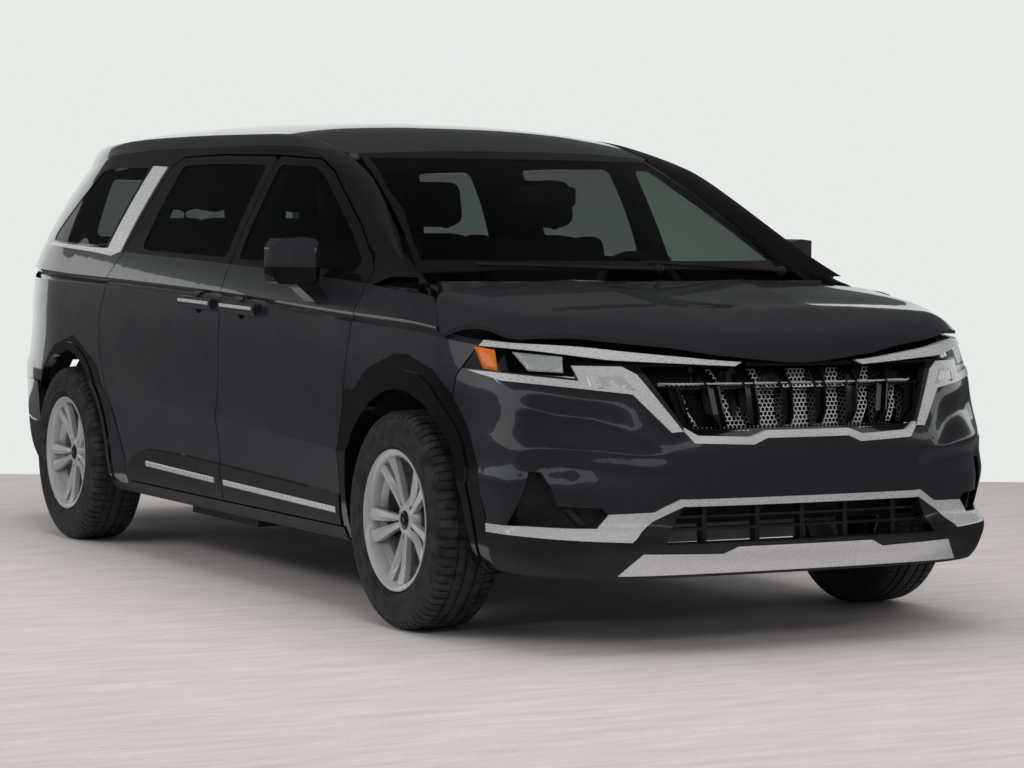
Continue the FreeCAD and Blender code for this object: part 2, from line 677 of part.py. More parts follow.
def body_sides():
    wall = side_wall(side_strips, ways(0.25, 2), 0, "full")
    outer = side_wall(door_strips, ways(0.25, 1.2), -skin_depth, skin_depth + layer_gap)
    front = grown(front_door_outline(), panel_gap)
    slide = grown(sliding_door_outline(), panel_gap)
    recess = side_cut(front).fuse(side_cut(slide))
    fender_zone = share_points([(-0.3, 0.1), (-0.3, 0.66), (0.075, 0.66), (0.105, 0.64), (0.14, 0.56),
                                (0.165, 0.1)])
    recess = recess.fuse(side_cut(fender_zone))
    wall = wall.cut(outer.common(recess))
    ways_in = [side_cut(grown(front_door_outline(), layer_gap - door_flange), corner_radius),
               side_cut(grown(sliding_door_outline(), layer_gap - door_flange), corner_radius),
               side_cut(share_points(quarter_window_shares), window_radius),
               arch_cut(rear_arch_shares, trim_fit),
               side_cut(grown(share_points(sill_trim_shares), trim_fit)),
               side_cut(grown(share_points(pillar_trim_shares), trim_fit)),
               side_cut(grown(share_points([(0.0, 0.1), (0.0, 0.5), (0.131, 0.5), (0.131, 0.1)]), 0)),
               tailgate_region(panel_gap),
               rear_bumper_cut(),
               wheel_well(rear_axle_y, arch_radius),
               side_cut(grown(share_points(tail_lamp_shares), trim_fit)).common(behind(Y(side_end_share))),
               side_cut(share_points(track_shares)).common(track_zone()),
               box(-half_width, seal_fit, -half_length, half_length, 0, body_height)]
    deep = side_wall(door_strips, ways(0.25, 1.6), -skin_depth, arch_trim_depth + trim_fit)
    for k in (4, 5):
        ways_in[k] = ways_in[k].common(deep)
    ways_in.append(door_swing(swing_radius))
    ways_in.append(door_swing(swing_corner_radius).common(side_cut(front)))
    for tool in ways_in:
        wall = wall.cut(tool)
    wall = max(wall.Solids, key=lambda s: s.Volume)
    wall = wall.fuse(side_wall([flank_lines, groove_lines, lip_lines], ways(0.75, 1.5), track_depth,
                               track_depth + track_wall).common(side_cut(grown(share_points(track_shares), track_wall)))
                     .cut(tailgate_region(panel_gap)).cut(side_cut(grown(sliding_door_outline(), panel_gap))))
    wall = max(wall.Solids, key=lambda s: s.Volume)
    keep("body_side_left", wall)
    keep("body_side_right", mirrored(wall))


def tail_lamps():
    """A lamp at each corner of the tail and the light bar between them across the tailgate."""
    wall = side_wall([groove_lines, lip_lines, shoulder_lines, window_lines], ways(0.95, 2), trim_fit,
                     skin_depth + lamp_depth)
    lamp = wall.common(side_cut(share_points(tail_lamp_shares))).cut(tailgate_region(panel_gap))
    lamp = lamp.common(behind(Y(side_end_share))).cut(nodes["body_side_left"][0])
    lamp = max(lamp.Solids, key=lambda s: s.Volume)
    keep("tail_lamps", lamp, mirrored(lamp))


def fenders():
    wall = side_wall(lower_strips, ways(-0.35, 0.4), 0, skin_depth)
    edge = share_points(front_door_shares)[:6]
    a, b = share_points(bonnet_cut_shares)
    keep_zone = [(y - panel_gap, z) for y, z in edge]
    keep_zone += [(Y(0.10), Z(0.70)), (Y(0.02), Z(0.70)), (b[0] + panel_gap, b[1]), (a[0] + panel_gap, a[1]),
                  (Y(-0.452) + panel_gap, Z(0.575))]
    keep_zone += [(y + panel_gap / 2, z) for y, z in share_points(bumper_cut_shares)[1:]]
    fender = wall.common(side_cut(keep_zone))
    shoulder = side_wall([lip_lines, shoulder_lines], ways(-0.35, 0.4), -skin_depth, skin_depth * 2)
    ahead = side_cut([(a[0] + panel_gap, Z(0.5)), (a[0] + panel_gap, a[1]), (b[0] + panel_gap, b[1]),
                      (b[0] + panel_gap, Z(0.8)), (Y(-0.9), Z(0.8)), (Y(-0.9), Z(0.5))])
    fender = fender.cut(shoulder.common(ahead))
    fender = fender.cut(arch_cut(front_arch_shares, trim_fit))
    fender = fender.cut(side_cut(grown(share_points(sill_trim_shares), trim_fit)))
    fender = fender.cut(nodes["body_side_left"][0])
    parts = [s for s in fender.Solids if s.Volume > skin_depth ** 3]
    keep("fenders", *(parts + [mirrored(s) for s in parts]))


def opening_cut():
    """A cutter through the side from the front arch's inner edge."""
    points = [V(0, y, z) for y, z in share_points(front_opening_shares)]
    curve = Part.BSplineCurve()
    curve.interpolate(points[1:-1])
    edges = [curve.toShape()] + [Part.LineSegment(a, b).toShape() for a, b in
                                 ((points[-2], points[-1]), (points[-1], points[0]), (points[0], points[1]))]
    return Part.Face(Part.Wire(edges)).extrude(V(half_width + cutter_reach, 0, 0))


def arch_trims():
    """Mouldings round the wheel arches: a flat outer band and a prouder inner one."""
    trims = []
    for shares, bead, opening in (
            (front_arch_shares, side_cut(share_points(front_bead_shares), corner_radius), opening_cut()),
            (rear_arch_shares, wheel_well(rear_axle_y, arch_radius + arch_band),
             wheel_well(rear_axle_y, arch_radius))):
        outer = side_wall([sill_lines, flank_lines], ways(-0.9, 1.4), -trim_proud / 2, arch_trim_depth)
        inner = side_wall([sill_lines, flank_lines], ways(-0.9, 1.4), -arch_trim_proud, arch_trim_depth)
        whole = outer.fuse(inner.common(bead))
        trim = whole.common(side_cut(share_points(shares), arch_corner)).cut(opening)
        trims.append(max(trim.Solids, key=lambda s: s.Volume))
    keep("arch_trims", *(trims + [mirrored(t) for t in trims]))


def sill_trims():
    wall = side_wall([sill_lines, flank_lines], ways(0.2, 0.9), -arch_trim_proud, arch_trim_depth)
    trim = wall.common(side_cut(share_points(sill_trim_shares)))
    for shares in (front_arch_shares, rear_arch_shares):
        trim = trim.cut(arch_cut(shares, trim_fit))
    keep("sill_trims", trim, mirrored(trim))


def pillar_trims():
    wall = side_wall([shoulder_lines, window_lines], ways(0.8, 1.5), -glass_inset, skin_depth)
    trim = wall.common(side_cut(share_points(pillar_trim_shares)))
    trim = trim.cut(side_cut(share_points(quarter_window_shares), window_radius))
    keep("pillar_trims", trim, mirrored(trim))


# Top panels

def top_slab(s0, s1, edge, thickness, rows=14, columns=13, lift=0.0):
    """A panel of the top surface between two stations, out to an edge share at each station."""
    def line(k, drop):
        c = 2 * k / (columns - 1) - 1
        points = []
        for i in range(rows):
            s = s0 + (s1 - s0) * i / (rows - 1)
            x = X(edge(s)) * c
            across = abs(x) / half_width
            y = Y(s + bow_share(s) * across ** 2)
            points.append(V(x, y, top_z(x, y) - drop + lift))
        return points
    return thick([[line(k, 0) for k in range(columns)]], [[line(k, thickness) for k in range(columns)]])


windscreen_low_station_share = 0.028
windscreen_top_station_share = 0.318


def windscreen():
    edge = smooth([(0, 0.790), (0.014, 0.772), (0.1, 0.705), (0.22, 0.640), (0.322, 0.594), (0.4, 0.57)])
    keep("windscreen", top_slab(windscreen_low_station_share, windscreen_top_station_share, edge,
                                glass_thickness))


def ditch_plan(by):
    """The space inside the ditch line, moved inwards by a distance, as seen from above."""
    points = []
    for w in ways(0.3, 2):
        p, q = side_point(ditch_line, w), side_point(ditch_line, w, by)
        points.append(V(max(p.x - by, 0), p.y - (by if w > 1.9 else 0), 0))
    points[-1].x = 0
    curve = points + [V(-p.x, p.y, 0) for p in points[::-1][1:]]
    spline = Part.BSplineCurve()
    spline.interpolate(curve)
    closing = Part.LineSegment(curve[-1], curve[0]).toShape()
    return Part.Face(Part.Wire([spline.toShape(), closing])).extrude(V(0, 0, body_height * 2))


def top_skin():
    """The roof and the spoiler as one panel inside the ditch line."""
    slab = top_slab(windscreen_top_station_share + trim_fit / wheelbase, 1.85, lambda s: ditch_x(0.6) * 1.1,
                    roof_thickness, 18, 15)
    return slab.common(ditch_plan(trim_fit))


def behind(y, by=0.0):
    return box(-half_width - cutter_reach, half_width + cutter_reach, y + by, half_length + cutter_reach, 0,
               body_height + cutter_reach)


def roof_panel():
    roof = top_skin().cut(behind(Y(tailgate_hinge_station_share)))
    for side in ("body_side_left", "body_side_right"):
        roof = roof.cut(nodes[side][0])
    keep("roof_panel", max(roof.Solids, key=lambda s: s.Volume))


def rear_window(by):
    return front_prism([(-X(0.50) + by, Z(0.72) + by), (X(0.50) - by, Z(0.72) + by),
                        (X(0.455) - by, Z(0.865) - by), (-X(0.455) + by, Z(0.865) - by)],
                       window_radius, half_length / 2, half_length + cutter_reach)


light_bar_shares = [(-0.70, 0.6400), (0.70, 0.6400), (0.70, 0.6640), (-0.70, 0.6640)]
plate_shares = [(-0.29, 0.4450), (0.29, 0.4450), (0.27, 0.5250), (-0.27, 0.5250)]
plate_depth = 16.0
plate_hole_radius = 3.0
plate_hole_spacing = 280.0
plate_hole_z_share = 0.4850


def tailgate():
    """The tailgate with its spoiler, a channel for the light bar and the recess for the plate."""
    shell = round_wall([flank_lines, groove_lines, lip_lines, shoulder_lines, window_lines, cant_lines],
                       ways(1.3, 2), 0, tailgate_thickness)
    gate = shell.common(tailgate_region())
    spoiler = top_skin().common(behind(Y(tailgate_hinge_station_share), panel_gap))
    layer = round_wall([flank_lines, groove_lines, lip_lines, shoulder_lines], ways(1.3, 2), -skin_depth, plate_depth)
    recess = layer.common(front_prism(front_points(plate_shares), window_radius, 0, half_length * 2))
    channel = layer.common(front_prism(front_points(light_bar_shares), 0, 0, half_length * 2))
    bar = round_wall([lip_lines, shoulder_lines], ways(1.3, 2), trim_proud, plate_depth - trim_fit)
    bar = bar.common(front_prism(grown(front_points(light_bar_shares), -trim_fit), 0, 0, half_length * 2))
    bar = bar.common(tailgate_region(-trim_fit))
    gate = gate.cut(recess).cut(channel).cut(rear_window(0)).fuse(spoiler)
    for side in (-1, 1):
        hole = Part.makeCylinder(plate_hole_radius, half_length, V(side * plate_hole_spacing / 2, half_length / 2,
                                                                   Z(plate_hole_z_share)), V(0, 1, 0))
        gate = gate.cut(hole)
    pane = round_wall([shoulder_lines, window_lines], ways(1.3, 2), glass_inset, glass_inset + glass_thickness)
    keep("tailgate", max(gate.Solids, key=lambda s: s.Volume))
    keep("tailgate_glass", pane.common(rear_window(trim_fit)))
    keep("tailgate_lamp", bar)


wiper_radius = 9.0
wiper_lift = 27.0


def wiper_arm(start, end):
    """A round pivot and an arm with a flat blade from it to its tip."""
    along = end - start
    arm = Part.makeCylinder(wiper_radius * 2 / 3, along.Length, start, along)
    return arm.fuse(Part.makeSphere(wiper_radius * 2, start)).fuse(Part.makeSphere(wiper_radius, end))


def wipers():
    """Two arms parked along the windscreen's foot."""
    arms = []
    for x0, x1 in front_wiper_shares:
        places = []
        for x, s in ((x0, wiper_foot_station_share), (x1, wiper_tip_station_share)):
            y = Y(s + bow_share(s) * x ** 2)
            places.append(V(X(x), y, top_z(X(x), y) + wiper_lift))
        arms.append(wiper_arm(places[0], places[1]))
    keep("wipers", *arms)


front_wiper_shares = [(0.62, 0.02), (0.03, -0.58)]
wiper_foot_station_share = 0.010
wiper_tip_station_share = 0.024


bumper_step_shares = [(1.2, 0.262), (2.1, 0.270), (2.1, 0.276), (1.2, 0.268)]


def rear_bumper():
    """The rear bumper with a step line across it over the black lower part."""
    wall = round_wall([sill_lines, flank_lines], ways(1.2, 2), 0, bumper_thickness)
    zone = side_prism([(Y(1.30) + trim_fit, Z(0.05)), (Y(1.30) + trim_fit, Z(rear_bumper_top_share) - panel_gap),
                       (Y(2.1), Z(rear_bumper_top_share) - panel_gap), (Y(2.1), Z(0.05))], 0,
                      -half_width - cutter_reach, half_width + cutter_reach)
    bumper = wall.common(zone)
    arch = arch_cut(rear_arch_shares, trim_fit)
    bumper = bumper.cut(arch).cut(mirrored(arch))
    layer = round_wall([sill_lines, flank_lines], ways(1.2, 2), -skin_depth, layer_gap)
    line = side_prism(share_points(bumper_step_shares), 0, -half_width * 2, half_width * 2)
    bumper = bumper.cut(layer.common(line))
    keep("rear_bumper", max(bumper.Solids, key=lambda s: s.Volume))


# Bonnet, as a height over the plan

bonnet_rise_shares = [(-0.95, 0.055), (-0.864, 0.046), (-0.7, 0.052), (-0.5, 0.059), (-0.25, 0.066),
                      (0, 0.075), (0.1, 0.080)]
bonnet_roll_shares = [(0, 0), (0.020, 0.50), (0.034, 0.72), (0.055, 0.93), (0.075, 0.975), (0.12, 0.992),
                      (0.25, 1.0), (1, 1.0)]
bonnet_roll = smooth(bonnet_roll_shares)
bonnet_rise = smooth(bonnet_rise_shares)
bonnet_crease_x = smooth([(-0.95, 0.232), (-0.864, 0.238), (-0.5, 0.275), (0, 0.330), (0.1, 0.34)])
bonnet_dish_share = 0.006
bonnet_fall_share = 0.024
nose_power_share = 2.1
front_roll_share = 0.72


def bonnet_radius(x, y):
    """One at the bonnet's rim and zero in its middle, with the rim's distance as a share."""
    a = X(crease_x(max(station_of(y), side_start_share)))
    if y > Y(side_start_share):
        r = abs(x) / a
        return r, (1 - r) * a / half_width
    b = Y(side_start_share) - Y(nose_profile(crease_z(-1)))
    u, v = abs(x) / a, (Y(side_start_share) - y) / b
    r = (u ** nose_power_share + v ** nose_power_share) ** (1 / nose_power_share)
    ahead = b * front_roll_share
    reach = (u * a + v * ahead) / max(u + v, 0.001)
    return r, (1 - r) * reach / half_width


def rim_z(x, y):
    """Height share of the bonnet's rim in the direction of a place."""
    s = station_of(y)
    if s > side_start_share:
        return crease_z(s)
    r, q = bonnet_radius(x, y)
    along = (Y(side_start_share) - y) / (Y(side_start_share) - Y(nose_profile(crease_z(-1)))) / max(r, 0.001)
    return crease_z(side_start_share - (1 + side_start_share) * min(along, 1))


def bonnet_z(x, y):
    s = station_of(y)
    r, q = bonnet_radius(x, y)
    rim = rim_z(x, y)
    across = abs(x) / half_width
    crown = crease_z(max(s, -0.6)) if s > -0.6 else 0.5575 + (s + 0.6) * 0.10
    top = crown + bonnet_rise(s) - bonnet_fall_share * across ** 2
    crease = bonnet_crease_x(s)
    if across < crease:
        top -= bonnet_dish_share * (1 - (across / crease) ** 2)
    roll = bonnet_roll(max(q, 0)) if q > 0 else q * 25
    return Z(rim + (top - rim) * roll)


def bonnet():
    rows, columns = 26, 9
    y0, y1 = Y(-0.96), Y(0.06)
    def line(x_of, drop):
        points = []
        for i in range(rows):
            y = y0 + (y1 - y0) * i / (rows - 1)
            x = x_of(station_of(y))
            r, q = bonnet_radius(x, y)
            thin = bonnet_thickness * min(max(q / 0.05, 0.25), 1)
            points.append(V(x, y, bonnet_z(x, y) - (thin if drop else 0)))
        return points

    def strips(drop):
        right = [line(lambda s, k=k: X(-0.99 + (0.99 - bonnet_crease_x(s)) * k / (columns - 1)), drop)
                 for k in range(columns)]
        middle = [line(lambda s, k=k: X(bonnet_crease_x(s) * (2 * k / 6 - 1)), drop) for k in range(7)]
        left = [[V(-p.x, p.y, p.z) for p in row] for row in right[::-1]]
        return [right, middle, left]
    slab = thick(strips(False), strips(True))
    rim = [side_point(lip_lines[1], w) for w in ways(-1, 0.5)]
    rim = [V(p.x - trim_fit, p.y, 0) for p in rim]
    curve = [V(-p.x, p.y, 0) for p in rim[::-1]] + rim[1:]
    spline = Part.BSplineCurve()
    spline.interpolate(curve)
    edges = [spline.toShape(), Part.LineSegment(curve[-1], V(curve[-1].x, Y(0.4), 0)).toShape(),
             Part.LineSegment(V(curve[-1].x, Y(0.4), 0), V(-curve[-1].x, Y(0.4), 0)).toShape(),
             Part.LineSegment(V(-curve[-1].x, Y(0.4), 0), curve[0]).toShape()]
    plan = Part.Face(Part.Wire(edges)).extrude(V(0, 0, body_height))
    a, b = share_points(bonnet_cut_shares)
    slope = (b[1] - a[1]) / (b[0] - a[0])
    low, high = Z(0.3), Z(0.9)
    ahead = side_prism([(a[0] + (low - a[1]) / slope, low), (a[0] + (high - a[1]) / slope, high),
                        (Y(-1.5), high), (Y(-1.5), low)], 0, -half_width - cutter_reach,
                       half_width + cutter_reach)
    keep("bonnet", slab.common(plan).common(ahead))


# The nose: outlines in half width and height shares, seen from the front

headlamp_shares = [(0.99, 0.575), (0.583, 0.560), (0.199, 0.540), (0.200, 0.5118), (0.600, 0.5166), (0.732, 0.5171),
                   (0.721, 0.4915), (0.99, 0.5055)]
top_strip_shares = [(0.99, 0.575), (0.583, 0.560), (0.199, 0.540), (0.209, 0.5211), (0.240, 0.5124), (0.629, 0.5235),
                    (0.811, 0.5381), (0.99, 0.5485)]
running_lamp_shares = [(0.922, 0.4996), (0.886, 0.4837), (0.704, 0.4724), (0.576, 0.4639), (0.476, 0.3973),
                       (0.439, 0.3988), (0.554, 0.4986), (0.595, 0.5125), (0.729, 0.5131), (0.717, 0.4867)]
grille_shares = [(0.542, 0.5120), (0.429, 0.4010), (0.393, 0.3920), (0.209, 0.3874), (0.153, 0.3984)]
grille_border_shares = [(0.437, 0.3988), (0.406, 0.3781), (0.201, 0.3735), (0.153, 0.3849)]
grille_border_top_shares = [(0.153, 0.3984), (0.209, 0.3874), (0.393, 0.3911), (0.436, 0.4058)]
lower_trim_shares = [(0.452, 0.2790), (0.528, 0.2560), (0.663, 0.2529), (0.698, 0.2283), (0.931, 0.2267)]
lower_trim_under_shares = [(0.931, 0.2117), (0.613, 0.2050), (0.534, 0.2400), (0.442, 0.2662)]
intake_shares = [(0.440, 0.2650), (0.505, 0.2000)]
pocket_shares = [(0.895, 0.2283), (0.700, 0.2300), (0.666, 0.2539), (0.682, 0.2638), (0.794, 0.2655), (0.808, 0.3003),
                 (0.825, 0.3250), (0.856, 0.3250)]
skid_shares = [(0.251, 0.1917), (0.300, 0.1792), (0.574, 0.1838), (0.637, 0.1432)]
lip_top_share = 0.2035
blade_pairs = 4
blade_pitch = 127.0
blade_width = 43.0
blade_wall = 6.0
blade_channel = 14.0
blade_depth = 46.0
rib_depth = 34.0
trim_proud = 3.0
trim_depth = 16.0


def nose_cut(points, radius=0.0):
    """A cutter through the nose from an outline of (x, z)."""
    return front_prism(points, radius, -half_length - cutter_reach, Y(-0.2))


cheek_edge_shares = [(0.455, 0.3500), (0.485, 0.3553), (0.578, 0.3562), (0.695, 0.3619), (0.792, 0.3658),
                     (0.841, 0.3636), (0.861, 0.3587)]
corner_edge_shares = [(0.182, 0.901), (0.254, 0.899), (0.285, 0.897), (0.336, 0.880), (0.3587, 0.861)]
cheek_rim_shares = [(0.502, 0.3661), (0.542, 0.4061), (0.576, 0.4406), (0.604, 0.4477), (0.739, 0.4567),
                    (0.855, 0.4629), (0.880, 0.4500)]
cheek_fold_shares = [(0.502, 0.3580), (0.521, 0.3599), (0.582, 0.3859), (0.687, 0.4131), (0.780, 0.4229),
                     (0.833, 0.4335), (0.880, 0.4450)]
cheek_fade_shares = [(0.502, 0), (0.600, 1), (0.815, 1), (0.872, 0)]
recess_fade_shares = [(0.420, 0), (0.520, 1)]
recess_step_share = 0.022
recess_turn_share = 0.024
recess_low_share = 0.2117
recess_rise_share = 0.012
cheek_depth = 26.0
recess_depth = 28.0


def ramp(table):
    """Straight runs through a short table, level past its ends."""
    def value(t):
        if t <= table[0][0]:
            return table[0][1]
        for (a, va), (b, vb) in zip(table, table[1:]):
            if t <= b:
                return va + (vb - va) * (t - a) / (b - a)
        return table[-1][1]
    return value


cheek_edge, corner_edge = ramp(cheek_edge_shares), ramp(corner_edge_shares)
cheek_rim, cheek_fold = ramp(cheek_rim_shares), ramp(cheek_fold_shares)
cheek_fade, recess_fade = ramp(cheek_fade_shares), ramp(recess_fade_shares)
rise = ramp([(0, 0), (1, 1)])


def fascia_depth(x_share, z_share):
    """How far the bumper's face lies behind its outermost surface.

    Under each lamp a cheek folds in and out again, and below its edge the face steps back.
    """
    edge, fold, rim = cheek_edge(x_share), cheek_fold(x_share), cheek_rim(x_share)
    if z_share > fold:
        tent = rise((rim - z_share) / (rim - fold))
    else:
        tent = rise((z_share - edge) / (fold - edge))
    below = rise((edge - z_share) / recess_step_share)
    inside = rise((corner_edge(z_share) - x_share) / recess_turn_share)
    above = rise((z_share - recess_low_share) / recess_rise_share)
    step = min(below, inside, above) * recess_fade(x_share)
    return cheek_depth * tent * cheek_fade(x_share) + recess_depth * step


fascia_rows_share = [0.138, 0.150, 0.165, 0.180, 0.195, 0.204, 0.212, 0.221, 0.230, 0.245, 0.262, 0.280, 0.296, 0.310,
                     0.320, 0.329, 0.337, 0.345, 0.353, 0.361, 0.369, 0.378, 0.388, 0.398, 0.408, 0.418, 0.428,
                     0.438, 0.448, 0.458, 0.470, 0.484, 0.496, 0.5045]
fascia_bow_shares = [(0.138, -0.085), (0.150, -0.055), (0.185, -0.035), (0.235, -0.025), (0.265, -0.012), (0.300, 0),
                     (0.330, -0.008), (0.378, -0.012), (0.445, -0.0105), (0.4675, -0.015), (0.5045, -0.019)]
fascia_bow = smooth(fascia_bow_shares)
ridge_level_share, crease_level_share = 0.300, 0.5225
nose_brow_share = 0.007
fascia_grid = 40


def fascia_line(level):
    """A line of the bumper's face at a height share counted at the middle of the nose."""
    t = (level - ridge_level_share) / (crease_level_share - ridge_level_share)
    height = between(ridge_z, crease_z, t) if t > 0 else flat(level)
    return (height, plus(ridge_x, fascia_bow(level)), 1, 0)


def fascia_point(line, way, depth):
    p = side_point(line, way)
    return side_point(line, way, depth + fascia_depth(p.x / half_width, p.z / body_height))


def nose_wall(near, far, w1=0.1):
    """A wall over the whole nose between two depths, with its cheeks and steps."""
    brow = (plus(crease_z, -nose_brow_share), plus(crease_x, -nose_brow_share), 1, 0)
    strips = [[fascia_line(level) for level in fascia_rows_share], [None, brow]]
    steps = [k / fascia_grid for k in range(-fascia_grid, round(w1 * fascia_grid) + 1)]

    def rows(depth):
        whole = []
        for strip in strips:
            lines = []
            for line in strip:
                if line is None:
                    lines.append(whole[0][-1])
                    continue
                points = [fascia_point(line, w, depth) for w in steps]
                points[0].x = 0
                lines.append([V(-p.x, p.y, p.z) for p in points[::-1]] + points[1:])
            whole.append(lines)
        return whole
    return thick(rows(near), rows(far))


def ahead_of_fender(by):
    """The space ahead of the cut between bumper and fender."""
    cut = [(y - by, z) for y, z in share_points(bumper_cut_shares)]
    return side_prism(cut + [(Y(-1.5), Z(0.05)), (Y(-1.5), Z(0.70))], 0, -half_width - cutter_reach,
                      half_width + cutter_reach)


def mirror_points(points):
    return [(-x, z) for x, z in points]


def grille_border_outline():
    low, up = front_points(grille_border_shares), front_points(grille_border_top_shares)
    return low + mirror_points(low[::-1]) + mirror_points(up[::-1]) + up


def lower_trim_outline():
    up, low = front_points(lower_trim_shares), front_points(lower_trim_under_shares)
    return mirror_points(up[::-1]) + up + low + mirror_points(low[::-1])


def front_bumper():
    """The bumper's skin round the grille, with holes for lamps, trims, pockets and the intake."""
    wall = nose_wall(0, bumper_thickness).common(ahead_of_fender(panel_gap / 2))
    tools = []
    for shares in (headlamp_shares, running_lamp_shares):
        tool = nose_cut(grown(front_points(shares), trim_fit))
        tools += [tool, mirrored(tool)]
    tool = nose_cut(front_points(pocket_shares))
    tools += [tool, mirrored(tool)]
    tools.append(nose_cut(both_sides(front_points(grille_shares))))
    tools.append(nose_cut(grown(grille_border_outline(), trim_fit)))
    tools.append(nose_cut(grown(lower_trim_outline(), trim_fit)))
    tools.append(nose_cut(both_sides(front_points(intake_shares))))
    tools.append(box(-half_width - cutter_reach, half_width + cutter_reach, -half_length - cutter_reach, 0, 0,
                     Z(lip_top_share) + trim_fit))
    arch = arch_cut(front_arch_shares, trim_fit)
    tools += [arch, mirrored(arch)]
    for tool in tools:
        wall = wall.cut(tool)
    keep("front_bumper", *[s for s in wall.Solids if s.Volume > bumper_thickness ** 3])


def front_lip():
    wall = nose_wall(0, bumper_thickness).common(ahead_of_fender(panel_gap / 2))
    wall = wall.common(box(-half_width, half_width, -half_length - cutter_reach, 0, 0, Z(lip_top_share)))
    wall = wall.cut(nose_cut(grown(both_sides(front_points(skid_shares)), trim_fit)))
    wall = wall.cut(nose_cut(grown(lower_trim_outline(), trim_fit)))
    wall = wall.cut(nose_cut(both_sides(front_points(intake_shares))))
    arch = arch_cut(front_arch_shares, trim_fit)
    wall = wall.cut(arch).cut(mirrored(arch))
    keep("front_lip", *[s for s in wall.Solids if s.Volume > bumper_thickness ** 3])


def front_trim():
    """Bright strips over the lamps, lamp surrounds, grille border, lower trim and skid plate."""
    wall = nose_wall(-trim_proud, trim_depth)
    front = ahead_of_fender(panel_gap / 2)
    arch = arch_cut(front_arch_shares, trim_fit)
    strip = wall.common(nose_cut(front_points(top_strip_shares))).common(front)
    light = wall.common(nose_cut(front_points(running_lamp_shares))).common(front)
    pieces = [max(p.Solids, key=lambda s: s.Volume) for p in (strip, light)]
    pieces += [mirrored(p) for p in pieces]
    pieces.append(wall.common(nose_cut(grille_border_outline())))
    low = wall.common(nose_cut(lower_trim_outline())).common(front).cut(arch).cut(mirrored(arch))
    pieces.append(low.cut(nose_cut(grown(grille_border_outline(), trim_fit))))
    pieces.append(wall.common(nose_cut(both_sides(front_points(skid_shares)))))
    keep("front_trim", *pieces)


corner_lamp_shares = [(0.565, 0.5186), (0.448, 0.5140), (0.443, 0.4930), (0.548, 0.4955)]


def headlamps():
    """The lamp units behind the nose's outline and the small lamps in the grille's upper corners."""
    wall = nose_wall(trim_proud, bumper_thickness * 2)
    lamp = wall.common(nose_cut(front_points(headlamp_shares))).common(ahead_of_fender(panel_gap / 2))
    lamp = lamp.cut(nose_cut(grown(front_points(top_strip_shares), trim_fit)))
    lamp = lamp.cut(nose_cut(grown(front_points(running_lamp_shares), trim_fit)))
    lamp = max(lamp.Solids, key=lambda s: s.Volume)
    keep("headlamps", lamp, mirrored(lamp))


def nose_y(x, z_share):
    """Place along the van of the nose's bare surface at a place across and a height."""
    reach = X(ridge_x(side_start_share) + fascia_bow(z_share))
    low, high = 0.0, 1.0
    for _ in range(bisection_steps):
        u = (low + high) / 2
        if reach * narrowed(nose_across(u), nose_taper(z_share)) > abs(x):
            low = u
        else:
            high = u
    return Y(side_start_share) + (Y(nose_profile(z_share)) - Y(side_start_share)) * nose_along(low)


bisection_steps = 30
blade_row_shares = [(0.5105, 1.073, 0.90, 1), (0.4770, 1, 0.06, 1), (0.4270, 0.955, 0.30, 1), (0.4060, 0.90, 0.62, 0.7)]


def blade(x, rows):
    """An upright channel of the grille, lofted through its sections from the top to its hooked foot."""
    wires = []
    for z_share, out, back, width in rows:
        centre = x * out
        y = nose_y(centre, z_share) + blade_depth * back
        h, t = blade_width * width / 2, blade_wall
        outline = [(-h, 0), (-h + t, 0), (-h + t, blade_channel), (h - t, blade_channel), (h - t, 0), (h, 0),
                   (h, blade_depth), (-h, blade_depth)]
        wires.append(Part.makePolygon([V(centre + a, y + b, Z(z_share)) for a, b in outline + outline[:1]]))
    return Part.makeLoft(wires, True, True)


def grille():
    """Eight upright channels over a crossbar, on a backing panel behind the opening."""
    opening = both_sides(front_points(grille_shares))
    corners = nose_cut(grown(front_points(corner_lamp_shares), panel_gap))
    back = nose_wall(bumper_thickness + rib_depth, bumper_thickness + rib_depth + trim_depth)
    back = back.common(nose_cut(grown(opening, panel_gap)))
    depth = nose_wall(-trim_proud, bumper_thickness + rib_depth + trim_depth / 2)
    room = depth.common(nose_cut(grown(opening, -trim_fit))).cut(corners).cut(mirrored(corners))
    pieces = []
    for k in range(blade_pairs):
        x = blade_pitch * (k + 0.5)
        rows = blade_row_shares if k < blade_pairs - 1 else blade_row_shares[1:]
        for side in (-1, 1):
            pieces.append(blade(side * x, rows).common(room))
    bar = nose_wall(blade_channel, bumper_thickness + rib_depth + trim_depth / 2)
    bar = bar.common(nose_cut(grown(opening, -trim_fit)))
    pieces.append(bar.common(box(-half_width, half_width, -half_length * 2, 0, Z(crossbar_shares[0]),
                                 Z(crossbar_shares[1]))))
    foot = nose_wall(blade_channel, bumper_thickness + rib_depth + trim_depth / 2)
    foot = foot.common(nose_cut(grown(opening, -trim_fit)))
    foot = foot.common(box(-half_width, half_width, -half_length * 2, 0, 0, Z(grille_foot_share)))
    whole = fuse([back, foot] + pieces).cut(nose_cut(grown(grille_border_outline(), trim_fit)))
    keep("grille", max(whole.Solids, key=lambda s: s.Volume))


crossbar_shares = (0.4735, 0.4780)
grille_foot_share = 0.4020


slat_shares = (0.2220, 0.2440)
upright_shares = (-0.355, -0.165, 0.0, 0.165, 0.355)
slat_width = 8.0
pocket_end_station_share = -0.52


